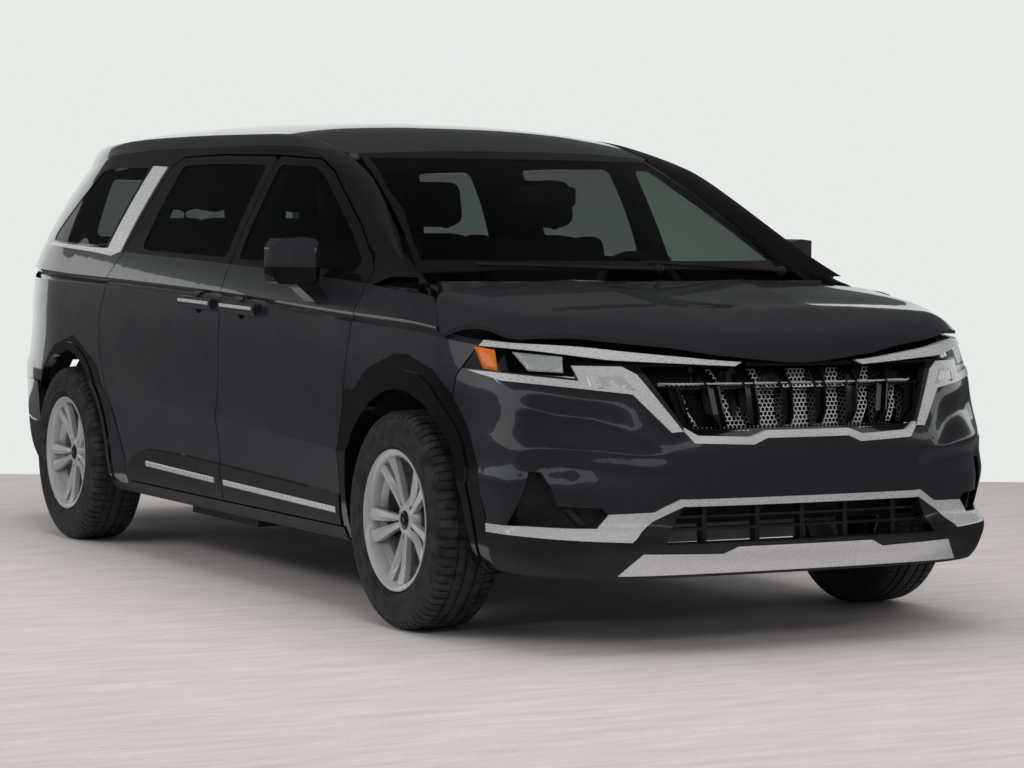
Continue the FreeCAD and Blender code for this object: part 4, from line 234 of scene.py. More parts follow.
def grain_shader(tree):
    spot = place(tree)
    grain = add(tree, "TexVoronoi", {"Vector": spot, "Scale": grains_per_metre}).outputs["Distance"]
    worn = noise(tree, wear_per_metre, 6.0)
    colour = mix_colour(tree, ramp(tree, worn, 0.35, 0.75), srgb("141416"), srgb("242427"))
    return shader_of(tree, Base_Color=colour, Roughness=ramp(tree, worn, 0.3, 0.8, 0.48, 0.66),
                     Normal=bump(tree, grain, grain_depth, 0.6))


paint, tree = material("slate_metallic_paint")
finish_material(paint, paint_shader(tree))
gloss_black, tree = material("gloss_black_plastic")
finish_material(gloss_black, gloss_black_shader(tree))
black_plastic, tree = material("grained_black_plastic")
finish_material(black_plastic, grain_shader(tree))

# Side finish
# The doors and sides change from paint to gloss black round the windows, and to grained plastic low on
# the doors. The lines follow the pressed belt, the roof rail and the top edge of the door cladding.


line_start, line_end, tallest = -1.80, 2.70, 2.0


def height_line(tree, along, points):
    """Height of a line along the van, from points of (place along, height)."""
    curve = add(tree, "FloatCurve", {1: ramp(tree, along, line_start, line_end)})
    line = curve.mapping.curves[0]
    scaled = [((y - line_start) / (line_end - line_start), z / tallest) for y, z in points]
    line.points[0].location = scaled[0]
    line.points[1].location = scaled[-1]
    for spot in scaled[1:-1]:
        line.points.new(*spot)
    curve.mapping.update()
    return math_of(tree, "MULTIPLY", curve.outputs[0], tallest)


belt_line = [(line_start, 1.090), (-1.6425, 1.098), (-0.444, 1.150), (0.932, 1.190), (1.854, 1.219),
             (line_end, 1.234)]
rail_line = [(line_start, 1.105), (-1.6425, 1.122), (-1.445, 1.164), (-1.025, 1.365), (-0.629, 1.547),
             (-0.407, 1.578), (-0.150, 1.590), (0.397, 1.595), (1.401, 1.588), (1.798, 1.569), (2.07, 1.552),
             (2.577, 1.524)]
cladding_line = [(line_start, 0.396), (-1.303, 0.397), (-0.7155, 0.416), (0.2115, 0.437), (0.5637, 0.434),
                 (0.6527, 0.420), (0.7553, 0.379), (0.8295, 0.329), (line_end, 0.2)]

belt_width, rail_width = 0.004, 0.012
side_paint, tree = material("side_paint_with_black_windows")
spot = add(tree, "SeparateXYZ", {0: place(tree)})
along, height = spot.outputs[1], spot.outputs[2]
over_line = [math_of(tree, "SUBTRACT", height, height_line(tree, along, line))
             for line in (belt_line, rail_line)]
over_belt = math_of(tree, "GREATER_THAN", over_line[0], belt_width)
under_rail = math_of(tree, "LESS_THAN", over_line[1], rail_width)
window_zone = math_of(tree, "MULTIPLY", over_belt, under_rail)
over_cladding = math_of(tree, "SUBTRACT", height, height_line(tree, along, cladding_line))
low_zone = math_of(tree, "LESS_THAN", over_cladding, 0.0)
upper = add(tree, "MixShader", {0: window_zone, 1: paint_shader(tree), 2: gloss_black_shader(tree)})
finish_material(side_paint, add(tree, "MixShader", {0: low_zone, 1: upper.outputs[0],
                                                    2: grain_shader(tree)}).outputs[0])

# Bright trims, lamps and glass
# Satin chrome with fine brushing, clear and tinted glass with a faint film of dust, and lamp covers.

brushing_per_metre, brushing_stretch, brushing_depth = 60.0, (1.0, 1.0, 3.0), 0.000004
satin, tree = material("satin_chrome")
stretched = add(tree, "Mapping", {0: place(tree), 3: brushing_stretch}).outputs[0]
brushed = noise(tree, brushing_per_metre, 6.0, 0.6, stretched)
finish_material(satin, shader_of(tree, Base_Color=mix_colour(tree, brushed, srgb("cfd0d2"), srgb("dddee0")),
                                 Metallic=0.45, Roughness=ramp(tree, brushed, 0.3, 0.7, 0.24, 0.34),
                                 Normal=bump(tree, brushed, brushing_depth, 0.05)))
shine_straight_on, slant_power, films_per_metre = 0.04, 5.0, 11.0


def pane_shine(tree, share):
    """How much a pane reflects: a little straight on and more at a slant, alike from either side."""
    slant = add(tree, "LayerWeight", {"Blend": 0.5}).outputs["Facing"]
    glancing = math_of(tree, "POWER", slant, slant_power)
    return math_of(tree, "MULTIPLY", ramp(tree, glancing, 0.0, 1.0, shine_straight_on, 1.0), share)


def pane_shader(tree, tint, clear, dusty, share):
    """Thin glass: a see-through tinted layer under a sharp reflection."""
    film = noise(tree, films_per_metre, 6.0)
    hazed = mix_colour(tree, ramp(tree, film, 0.4, 0.9, 0.0, dusty), tint, clear)
    through = add(tree, "BsdfTransparent", {0: hazed})
    smear = ramp(tree, film, 0.3, 0.8, 0.0, 0.03)
    shine = add(tree, "BsdfGlossy", {"Color": (1, 1, 1, 1), "Roughness": smear})
    parts = {0: pane_shine(tree, share), 1: through.outputs[0], 2: shine.outputs[0]}
    return add(tree, "MixShader", parts).outputs[0]


def glass_material(name, tint, clear, dusty):
    made, tree = material(name)
    return finish_material(made, pane_shader(tree, tint, clear, dusty, share=0.5))


clear_glass = glass_material("laminated_glass", srgb("c9d0cc"), srgb("b9c0bc"), dusty=0.3)
dark_glass = glass_material("tinted_glass", srgb("c0c3c2"), srgb("b0b3b2"), dusty=0.3)
lamp_glass = glass_material("clear_lamp_cover", srgb("f4f6f6"), srgb("e4e6e6"), dusty=0.2)

# The cover's moulded prisms are 6 mm across.
prisms_per_metre, prism_depth = 160.0, 0.0006
red_lamp, tree = material("red_lamp_cover")
cells = add(tree, "TexVoronoi", {"Vector": place(tree), "Scale": prisms_per_metre})
red = mix_colour(tree, cells.outputs["Distance"], srgb("7e0c0e"), srgb("b5181a"))
finish_material(red_lamp, shader_of(tree, Base_Color=red,
                                    Roughness=0.18, Coat_Weight=1.0, Coat_Roughness=0.03,
                                    Normal=bump(tree, cells.outputs["Distance"], prism_depth, 0.5)))

# Rubber and alloy
# Tyre rubber with a dusty bloom, and silver-painted alloy with painted shade in its corners, mixed with brake
# dust.

bloom_per_metre, scuffs_per_metre, scuff_depth = 26.0, 420.0, 0.0002
rubber, tree = material("tyre_rubber")
bloom = noise(tree, bloom_per_metre, 8.0)
scuffs = noise(tree, scuffs_per_metre, 3.0)
black = mix_colour(tree, ramp(tree, bloom, 0.35, 0.75), srgb("1b1b1c"), srgb("39393a"))
finish_material(rubber, shader_of(tree, Base_Color=black,
                                  Roughness=ramp(tree, bloom, 0.3, 0.8, 0.62, 0.86),
                                  Normal=bump(tree, scuffs, scuff_depth, 0.5)))
corner_reach, brake_dust_and_shade_per_metre, fine_per_metre, alloy_smears_per_metre = 0.03, 40.0, 800.0, 12.0
alloy, tree = material("silver_painted_alloy")
# Ambient occlusion finds the hollows, and these are painted darker as shade, in noisy patches that also stand
# for brake dust.
hollow_shade = add(tree, "AmbientOcclusion", {"Distance": corner_reach}, samples=4).outputs["AO"]
fine = noise(tree, fine_per_metre, 2.0)
silver = mix_colour(tree, fine, srgb("b9bbbe"), srgb("d4d6d8"))
brake_dust_and_shade = math_of(tree, "MULTIPLY", ramp(tree, hollow_shade, 0.9, 0.3),
                     noise(tree, brake_dust_and_shade_per_metre, 6.0))
dusty = mix_colour(tree, ramp(tree, brake_dust_and_shade, 0.1, 0.8), silver, srgb("4a4744"))
finish_material(alloy, shader_of(tree, Base_Color=dusty, Metallic=0.45,
                                 Roughness=ramp(tree, noise(tree, alloy_smears_per_metre, 5.0),
                                                0.3, 0.8, 0.24, 0.38),
                                 Coat_Weight=0.5, Coat_Roughness=0.08))

# Underbody and machinery
# Painted steel, cast iron with surface rust, cast alloy, and heat-tinted exhaust steel.

grime_per_metre, flaking_per_metre, flaking_depth = 12.0, 300.0, 0.0003
underbody, tree = material("black_painted_steel")
grime = noise(tree, grime_per_metre, 8.0, 0.65)
sooty = mix_colour(tree, ramp(tree, grime, 0.4, 0.7), srgb("17181a"), srgb("3a3734"))
finish_material(underbody, shader_of(tree, Base_Color=sooty,
                                     Roughness=ramp(tree, grime, 0.3, 0.8, 0.45, 0.8),
                                     Normal=bump(tree, noise(tree, flaking_per_metre, 3.0),
                                                 flaking_depth, 0.5)))
rust_per_metre, pits_per_metre, pit_depth = 34.0, 520.0, 0.0004
cast_iron, tree = material("cast_iron_with_rust")
rust = noise(tree, rust_per_metre, 8.0, 0.7)
rusty = mix_colour(tree, ramp(tree, rust, 0.5, 0.72), srgb("2b2a2a"), srgb("6a4330"))
finish_material(cast_iron, shader_of(tree, Base_Color=rusty,
                                     Metallic=ramp(tree, rust, 0.5, 0.72, 0.7, 0.1),
                                     Roughness=ramp(tree, rust, 0.3, 0.8, 0.45, 0.85),
                                     Normal=bump(tree, noise(tree, pits_per_metre, 4.0), pit_depth, 0.8)))
sand_per_metre, stains_per_metre, sand_depth = 700.0, 15.0, 0.0004
cast_alloy, tree = material("cast_alloy")
sand = noise(tree, sand_per_metre, 4.0)
grey = mix_colour(tree, noise(tree, stains_per_metre, 6.0), srgb("5a5b5c"), srgb("8a8b8c"))
finish_material(cast_alloy, shader_of(tree, Base_Color=grey,
                                      Metallic=0.9, Roughness=0.5, Normal=bump(tree, sand, sand_depth, 0.7)))
tints_per_metre, scale_per_metre, scale_depth = 5.0, 200.0, 0.0002
exhaust_steel, tree = material("heat_tinted_steel")
tint = noise(tree, tints_per_metre, 5.0)
finish_material(exhaust_steel, shader_of(tree, Base_Color=mix_colour(tree, ramp(tree, tint, 0.35, 0.65),
                                                                     srgb("7d7a76"), srgb("6b5343")),
                                         Metallic=1.0, Roughness=ramp(tree, tint, 0.3, 0.7, 0.3, 0.5),
                                         Normal=bump(tree, noise(tree, scale_per_metre, 4.0),
                                                     scale_depth, 0.5)))

# Cabin
# Soft dark plastic with a moulded grain, and leather with pores and creases.

cabin_grains_per_metre, cabin_shades_per_metre, cabin_grain_depth = 600.0, 8.0, 0.0003
cabin, tree = material("soft_dark_plastic")
pores = add(tree, "TexVoronoi", {"Vector": place(tree), "Scale": cabin_grains_per_metre}).outputs["Distance"]
shade = noise(tree, cabin_shades_per_metre, 5.0)
finish_material(cabin, shader_of(tree, Base_Color=mix_colour(tree, shade, srgb("1d1d1f"), srgb("2b2b2d")),
                                 Roughness=0.62, Normal=bump(tree, pores, cabin_grain_depth, 0.5)))
# The hide's cells are 2.4 mm across, and its creases 45 mm apart.
hide_per_metre, hide_depth, creases_per_metre, crease_depth = 420.0, 0.0004, 22.0, 0.002
leather, tree = material("dark_leather")
cells = add(tree, "TexVoronoi", {"Vector": place(tree), "Scale": hide_per_metre}, feature="SMOOTH_F1")
hide = cells.outputs["Distance"]
crease = noise(tree, creases_per_metre, 6.0, 0.6)
grain = bump(tree, hide, hide_depth, 0.6, bump(tree, crease, crease_depth, 0.25))
finish_material(leather, shader_of(tree, Base_Color=mix_colour(tree, crease, srgb("1c1b1c"), srgb("302e2f")),
                                   Roughness=ramp(tree, hide, 0.0, 0.6, 0.42, 0.62), Normal=grain))

# Panels in their colours
# Bumpers turn black round the grille and below their step lines, mirror caps below their split line,
# and the floor pan is carpeted on its faces that look up.


def split_shader(tree, mask, first, second):
    """First finish where the mask is 0, second where it is 1."""
    return add(tree, "MixShader", {0: mask, 1: first, 2: second}).outputs[0]


def above(tree, value, limit):
    return math_of(tree, "GREATER_THAN", value, limit)


def below(tree, value, limit):
    return math_of(tree, "LESS_THAN", value, limit)


nose_black_from, grille_half_width, under_trim_top, low_black_top = 0.866, 0.47, 0.462, 0.375
rear_black_top, mirror_split = 0.458, 1.168

bumper_paint, tree = material("bumper_paint_and_black")
spot = add(tree, "SeparateXYZ", {0: place(tree)})
out_from_middle = math_of(tree, "ABSOLUTE", spot.outputs[0])
nose_band = above(tree, spot.outputs[2], nose_black_from)
between_corners = below(tree, out_from_middle, grille_half_width)
under_trim = math_of(tree, "MULTIPLY", below(tree, spot.outputs[2], under_trim_top), between_corners)
low_edge = math_of(tree, "MAXIMUM", under_trim, below(tree, spot.outputs[2], low_black_top))
upper = split_shader(tree, nose_band, paint_shader(tree), gloss_black_shader(tree))
finish_material(bumper_paint, split_shader(tree, low_edge, upper, grain_shader(tree)))

rear_paint, tree = material("rear_bumper_paint_and_black")
spot = add(tree, "SeparateXYZ", {0: place(tree)})
rear_low = below(tree, spot.outputs[2], rear_black_top)
finish_material(rear_paint, split_shader(tree, rear_low, paint_shader(tree), grain_shader(tree)))

mirror_paint, tree = material("mirror_cap_paint_and_black")
spot = add(tree, "SeparateXYZ", {0: place(tree)})
cap_low = below(tree, spot.outputs[2], mirror_split)
finish_material(mirror_paint, split_shader(tree, cap_low, paint_shader(tree), gloss_black_shader(tree)))

pile_per_metre, pile_depth, facing_up = 900.0, 0.002, 0.3
floor_finish, tree = material("floor_steel_and_carpet")
facing = add(tree, "SeparateXYZ", {0: add(tree, "NewGeometry").outputs["Normal"]}).outputs[2]
pile = noise(tree, pile_per_metre, 4.0, 0.7)
rug = shader_of(tree, Base_Color=mix_colour(tree, pile, srgb("121213"), srgb("2c2c2e")), Roughness=0.95,
                Sheen_Weight=0.3, Normal=bump(tree, pile, pile_depth, 0.8))
soil = noise(tree, grime_per_metre, 8.0, 0.65)
soiled = mix_colour(tree, ramp(tree, soil, 0.4, 0.7), srgb("17181a"), srgb("3a3734"))
steel = shader_of(tree, Base_Color=soiled, Roughness=ramp(tree, soil, 0.3, 0.8, 0.45, 0.8))
finish_material(floor_finish, split_shader(tree, above(tree, facing, facing_up), steel, rug))

glass_steps, near_level, side_band, top_band, foot_band = 6, 0.05, 0.035, 0.030, 0.045
windscreen_glass, tree = material("laminated_glass_with_black_band")
spot = add(tree, "SeparateXYZ", {0: place(tree)})
glass_low, glass_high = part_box("windscreen")
corners = [v.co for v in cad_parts["windscreen"].data.vertices]
half_at = []
for step in range(glass_steps + 1):
    level_z = glass_low.z + (glass_high.z - glass_low.z) * step / glass_steps
    half_at.append(max(abs(c.x) for c in corners if abs(c.z - level_z) < near_level))
curve = add(tree, "FloatCurve", {1: ramp(tree, spot.outputs[2], glass_low.z, glass_high.z)})
line = curve.mapping.curves[0]
line.points[0].location, line.points[1].location = (0.0, half_at[0]), (1.0, half_at[-1])
for step, half in list(enumerate(half_at))[1:-1]:
    line.points.new(step / glass_steps, half)
curve.mapping.update()
from_edge = math_of(tree, "SUBTRACT", curve.outputs[0], math_of(tree, "ABSOLUTE", spot.outputs[0]))
band = math_of(tree, "MAXIMUM", below(tree, from_edge, side_band),
               math_of(tree, "MAXIMUM", above(tree, spot.outputs[2], glass_high.z - top_band),
                       below(tree, spot.outputs[2], glass_low.z + foot_band)))
pane = pane_shader(tree, srgb("c4c9c6"), srgb("b4b8b5"), dusty=0.3, share=0.6)
finish_material(windscreen_glass, split_shader(tree, band, pane, gloss_black_shader(tree)))

for side in ("left", "right"):
    finish(side_paint, "body_side_" + side, "front_door_" + side, "sliding_door_" + side)
    finish(mirror_paint, "mirror_" + side)
    finish(clear_glass, "front_door_" + side + "_glass")
finish(paint, "fenders", "bonnet", "roof_panel", "tailgate")
finish(bumper_paint, "front_bumper")
finish(rear_paint, "rear_bumper")
finish(gloss_black, "arch_trims", "grille")
finish(black_plastic, "sill_trims", "front_lip", "lower_intake", "wipers", "fuel_tank")
finish(satin, "front_trim", "pillar_trims")
finish(windscreen_glass, "windscreen")
finish(dark_glass, "rear_side_glass", "tailgate_glass")
finish(lamp_glass, "headlamps")
finish(red_lamp, "tail_lamps", "tailgate_lamp")
finish(underbody, "front_structure")
finish(floor_finish, "floor_pan")
finish(cast_iron, "front_subframe", "rear_axle", "front_knuckle_left", "front_knuckle_right")
finish(cast_alloy, "engine")
finish(exhaust_steel, "exhaust")
finish(cabin, "dashboard", "steering_wheel")
finish(leather, "front_seats", "rear_seats")
for corner in ("front_left", "front_right", "rear_left", "rear_right"):
    finish(rubber, "tyre_" + corner)
    finish(alloy, "rim_" + corner)

# Tyres
# All-season tyres of moulded rubber, pressed onto the rims. Grooves run round the tread, and cross
# grooves cut the shoulders into blocks.

wheels = {"front_right": (-0.873, -1.6425), "front_left": (0.873, -1.6425),
          "rear_right": (-0.873, 1.4475), "rear_left": (0.873, 1.4475)}
hub_height = 0.358


def turn_outline(shape, outline, centre, side, angles, change=None):
    """Turns a closed outline of (radius, outward) round the axle through the centre."""
    rings = []
    for step, angle in enumerate(angles):
        ring = []
        for radius, out in outline:
            r = change(radius, out, step) if change else radius
            spoke = Vector((side * out, -r * math.cos(angle), r * math.sin(angle)))
            ring.append(shape.verts.new(centre + spoke))
        rings.append(ring)
    for near, far in zip(rings, rings[1:] + rings[:1]):
        for k in range(len(outline)):
            j = (k + 1) % len(outline)
            shape.faces.new((near[k], near[j], far[j], far[k]))
    bmesh.ops.recalc_face_normals(shape, faces=shape.faces)


outer_half = [(0.3580, 0.004), (0.3578, 0.0155), (0.3508, 0.0162), (0.3508, 0.0243), (0.3577, 0.0250),
              (0.3572, 0.0500), (0.3502, 0.0507), (0.3502, 0.0588), (0.3568, 0.0595), (0.3558, 0.0740),
              (0.3538, 0.0860), (0.3500, 0.0955), (0.3440, 0.1020), (0.3370, 0.1062), (0.3325, 0.1088),
              (0.3318, 0.1076), (0.3230, 0.1118), (0.3100, 0.1156), (0.2950, 0.1173), (0.2750, 0.1167),
              (0.2605, 0.1146), (0.2592, 0.1160), (0.2548, 0.1158), (0.2532, 0.1138), (0.2450, 0.1112),
              (0.2365, 0.1060), (0.2330, 0.1000), (0.2230, 0.0945), (0.2150, 0.0930)]
liner = [(0.2150, 0.0800), (0.2500, 0.1020), (0.3100, 0.1040), (0.3420, 0.0850), (0.3460, 0.0)]
tyre_outline = outer_half + liner + [(r, -a) for r, a in liner[-2::-1] + outer_half[::-1]]
pitches = 72
pitch_steps = (0.0, 0.04, 0.22, 0.26, 0.63)
tread_angles = [2 * math.pi * (pitch + step) / pitches for pitch in range(pitches) for step in pitch_steps]


shoulder_radius, shoulder_from, shoulder_depth = 0.336, 0.0592, 0.0055
rib_radius, rib_from, rib_to, rib_depth = 0.3565, 0.0245, 0.0502, 0.0028
smooth_inside = 0.333


def cross_groove(radius, out, step):
    grooved = step % len(pitch_steps) in (1, 2)
    if grooved and radius > shoulder_radius and abs(out) > shoulder_from:
        return radius - shoulder_depth
    if grooved and radius > rib_radius and rib_from < abs(out) < rib_to:
        return radius - rib_depth
    return radius


for corner, (wheel_x, wheel_y) in wheels.items():
    wheel_side = math.copysign(1, wheel_x)
    tyre = mesh_piece("tyre_with_tread_" + corner,
                      lambda shape: turn_outline(shape, tyre_outline, Vector((wheel_x, wheel_y, hub_height)),
                                                 wheel_side, tread_angles, cross_groove),
                      "wheel_" + corner, rubber, smooth=False)
    for face in tyre.data.polygons:
        radius = math.hypot(face.center.y - wheel_y, face.center.z - hub_height)
        face.use_smooth = radius < smooth_inside
    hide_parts("tyre_" + corner)

# Alloy wheels
# Cast alloy, painted silver, with five pairs of twisted spokes, five nuts between them and a bare black cap.
# The steel brake disc is clamped behind.

spoke_start, spoke_length, spoke_steps = 0.036, 0.1735, 6
spoke_rise = [spoke_start + spoke_length * k / spoke_steps for k in range(spoke_steps + 1)]
pair_gap, pair_spread, spread_power = 0.0085, 0.0310, 1.25
spoke_half, spoke_flare = 0.0100, 0.0125
spoke_face, face_slope, face_sweep = 0.0700, 0.0120, 0.0130
twist_height, twist_rate, ridge_share = 0.0090, 1.15, 0.15
pair_count, rim_steps = 5, 96
rim_edge_round, rim_edge_angle, largest_smooth_face = 0.0016, math.radians(25), 0.00018
rim_outline = [(0.2320, 0.1012), (0.2145, 0.0952), (0.2145, 0.0700), (0.1960, 0.0450), (0.1960, -0.0450),
               (0.2145, -0.0700), (0.2145, -0.0952), (0.2320, -0.1012), (0.2320, -0.1090), (0.2080, -0.0980),
               (0.2080, -0.0680), (0.1905, -0.0430), (0.1905, 0.0400), (0.2020, 0.0620), (0.2065, 0.0860),
               (0.2105, 0.0985), (0.2180, 0.1058), (0.2285, 0.1096), (0.2320, 0.1088)]
hub_outline = [(0.0295, 0.0690), (0.0335, 0.0722), (0.0400, 0.0716), (0.0520, 0.0665), (0.0660, 0.0570),
               (0.0735, 0.0480), (0.0735, 0.0300), (0.0295, 0.0300)]
cap_outline = [(0.0005, 0.0770), (0.0120, 0.0768), (0.0220, 0.0756), (0.0275, 0.0735), (0.0290, 0.0700),
               (0.0290, 0.0600), (0.0005, 0.0600)]
disc_outline = [(0.1500, 0.0020), (0.1500, 0.0280), (0.0860, 0.0285), (0.0840, 0.0445), (0.0340, 0.0447),
                (0.0340, 0.0380), (0.0770, 0.0370), (0.0770, 0.0020)]
round_steps = [2 * math.pi * k / rim_steps for k in range(rim_steps)]
first_pair = math.radians(46)
nut_circle, nut_size, nut_height, nut_out, nut_turn = 0.0571, 0.0105, 0.024, 0.046, math.radians(26)


def add_spoke(shape, centre, side, pair_angle, hand):
    rings = []
    for k, radius in enumerate(spoke_rise):
        t = k / spoke_steps
        middle = pair_gap + pair_spread * t ** spread_power
        half = spoke_half + spoke_flare * t
        face_out = spoke_face + face_slope * t + face_sweep * t ** 3
        twist = twist_height * math.sin(math.pi * min(t * twist_rate, 1.0))
        section = [(middle - half, face_out - 0.003 - twist),
                   (middle - half * ridge_share, face_out + 0.002),
                   (middle + half, face_out - 0.004 + twist * 0.2), (middle + half, face_out - 0.024),
                   (middle, face_out - 0.034), (middle - half, face_out - 0.028)]
        ring = []
        for across, out in section:
            a = pair_angle + hand * math.atan2(across, radius)
            r = math.hypot(across, radius)
            ring.append(shape.verts.new(centre + Vector((side * out, -r * math.cos(a), r * math.sin(a)))))
        rings.append(ring)
    corner_count = len(rings[0])
    for low, high in zip(rings, rings[1:]):
        for k in range(corner_count):
            shape.faces.new((low[k], low[(k + 1) % corner_count],
                             high[(k + 1) % corner_count], high[k]))
    shape.faces.new(rings[0])
    shape.faces.new(rings[-1])


def grown_mesh(tree_of_nodes, **inputs):
    """Runs a tree of geometry nodes with its named inputs set, and returns the plain mesh."""
    seed = bpy.data.objects.new("seed", bpy.data.meshes.new("seed"))
    bpy.context.collection.objects.link(seed)
    step = seed.modifiers.new("grow", "NODES")
    step.node_group = tree_of_nodes
    for item in tree_of_nodes.interface.items_tree:
        if item.item_type == "SOCKET" and item.in_out == "INPUT" and item.name in inputs:
            step[item.identifier] = inputs[item.name]
    bpy.context.view_layer.update()
    made = bpy.data.meshes.new_from_object(seed.evaluated_get(bpy.context.evaluated_depsgraph_get()))
    bpy.data.objects.remove(seed)
    return made


def node_in(tree, kind, **options):
    made = tree.nodes.new(kind)
    for name, value in options.items():
        setattr(made, name, value)
    return made


def growing_tree(name, **inputs):
    """A tree of geometry nodes with the named inputs, and the node that gives them."""
    tree = bpy.data.node_groups.new(name, "GeometryNodeTree")
    tree.interface.new_socket("Geometry", in_out="OUTPUT", socket_type="NodeSocketGeometry")
    for label, kind in {**inputs, "Finish": "Material"}.items():
        tree.interface.new_socket(label, in_out="INPUT", socket_type="NodeSocket" + kind)
    return tree, node_in(tree, "NodeGroupInput")


def set_out(tree, given, points, pattern):
    """Sets the pattern on each point, makes it real and gives it its finish."""
    spread = node_in(tree, "GeometryNodeInstanceOnPoints")
    real = node_in(tree, "GeometryNodeRealizeInstances")
    dressed = node_in(tree, "GeometryNodeSetMaterial")
    tree.links.new(points, spread.inputs["Points"])
    tree.links.new(pattern, spread.inputs["Instance"])
    tree.links.new(spread.outputs["Instances"], real.inputs["Geometry"])
    tree.links.new(real.outputs["Geometry"], dressed.inputs["Geometry"])
    tree.links.new(given.outputs["Finish"], dressed.inputs["Material"])
    tree.links.new(dressed.outputs["Geometry"], node_in(tree, "NodeGroupOutput").inputs[0])


nut_tree, given = growing_tree("wheel_nuts", Nuts="Int", Circle="Float", Size="Float", Height="Float")
circle = node_in(nut_tree, "GeometryNodeMeshCircle")
shank = node_in(nut_tree, "GeometryNodeMeshCone")
shank.inputs["Vertices"].default_value = 6
half_size = node_in(nut_tree, "ShaderNodeMath", operation="MULTIPLY")
half_size.inputs[1].default_value = 0.72
link = nut_tree.links.new
link(given.outputs["Nuts"], circle.inputs["Vertices"])
link(given.outputs["Circle"], circle.inputs["Radius"])
link(given.outputs["Size"], half_size.inputs[0])
link(half_size.outputs[0], shank.inputs["Radius Top"])
link(given.outputs["Size"], shank.inputs["Radius Bottom"])
link(given.outputs["Height"], shank.inputs["Depth"])
set_out(nut_tree, given, circle.outputs["Mesh"], shank.outputs["Mesh"])

turning_per_metre, disc_stains_per_metre, turning_depth = 900.0, 30.0, 0.00005
disc_steel, tree = material("turned_disc_steel")
turned_grain = noise(tree, turning_per_metre, 2.0)
turned_grey = mix_colour(tree, noise(tree, disc_stains_per_metre, 6.0), srgb("6f6f70"), srgb("949494"))
finish_material(disc_steel, shader_of(tree, Base_Color=turned_grey,
                                      Metallic=1.0, Roughness=ramp(tree, turned_grain, 0.3, 0.7, 0.28, 0.42),
                                      Normal=bump(tree, turned_grain, turning_depth, 0.4)))

for corner, (wheel_x, wheel_y) in wheels.items():
    wheel_side = math.copysign(1, wheel_x)
    centre = Vector((wheel_x, wheel_y, hub_height))
    rides_on = "wheel_" + corner

    def cast_wheel(shape):
        turn_outline(shape, rim_outline, centre, wheel_side, round_steps)
        turn_outline(shape, hub_outline, centre, wheel_side, round_steps)
        for pair in range(pair_count):
            for hand in (-1, 1):
                add_spoke(shape, centre, wheel_side, first_pair + 2 * math.pi * pair / pair_count, hand)
        bmesh.ops.recalc_face_normals(shape, faces=shape.faces)

    rim = mesh_piece("alloy_wheel_" + corner, cast_wheel, rides_on, alloy, smooth=False)
    for face in rim.data.polygons:
        face.use_smooth = len(face.vertices) == 4 and face.area < largest_smooth_face
    edge = rim.modifiers.new("edges", "BEVEL")
    edge.width, edge.segments = rim_edge_round, 2
    edge.limit_method, edge.angle_limit = "ANGLE", rim_edge_angle
    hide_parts("rim_" + corner)
    mesh_piece("wheel_cap_" + corner,
               lambda shape: turn_outline(shape, cap_outline, centre, wheel_side, round_steps),
               rides_on, gloss_black)
    mesh_piece("brake_disc_" + corner,
               lambda shape: turn_outline(shape, disc_outline, centre, wheel_side, round_steps),
               rides_on, disc_steel, smooth=False)
    nuts = grown_mesh(nut_tree, Nuts=pair_count, Circle=nut_circle, Size=nut_size, Height=nut_height,
                      Finish=disc_steel)
    lay = Matrix.Translation(centre + Vector((wheel_side * nut_out, 0, 0))) @ Matrix.Rotation(
        math.radians(90) * wheel_side, 4, "Y") @ Matrix.Rotation(nut_turn, 4, "Z")
    nuts.transform(lay)
    nut_piece = bpy.data.objects.new("wheel_nuts_" + corner, nuts)
    bpy.context.collection.objects.link(nut_piece)
    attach(nut_piece, rides_on)

# Bright strips and handles on the doors
# Satin strips are clipped along the doors' cladding, and each pull handle has a bright bar on its grip.


def lay_along(shape, spots, section):
    """Lays a closed section of (across, out) along spots of (place, outward direction)."""
    rings = []
    for k, (at, out) in enumerate(spots):
        ahead = spots[min(k + 1, len(spots) - 1)][0] - spots[max(k - 1, 0)][0]
        across = ahead.cross(out).normalized()
        rise = across.cross(ahead).normalized()
        rise = rise if rise.dot(out) > 0 else -rise
        rings.append([shape.verts.new(at + across * a + rise * b) for a, b in section])
    count = len(section)
    for near, far in zip(rings, rings[1:]):
        for k in range(count):
            shape.faces.new((near[k], near[(k + 1) % count], far[(k + 1) % count], far[k]))
    shape.faces.new(rings[0])
    shape.faces.new(rings[-1])
    bmesh.ops.recalc_face_normals(shape, faces=shape.faces)


bar_sunk, bar_side_share, bar_top_share = 0.002, 0.4, 0.7


def bar_section(width, high):
    half = width / 2
    return [(-half, -bar_sunk), (-half, high * bar_side_share), (-half * bar_top_share, high),
            (half * bar_top_share, high), (half, high * bar_side_share), (half, -bar_sunk)]


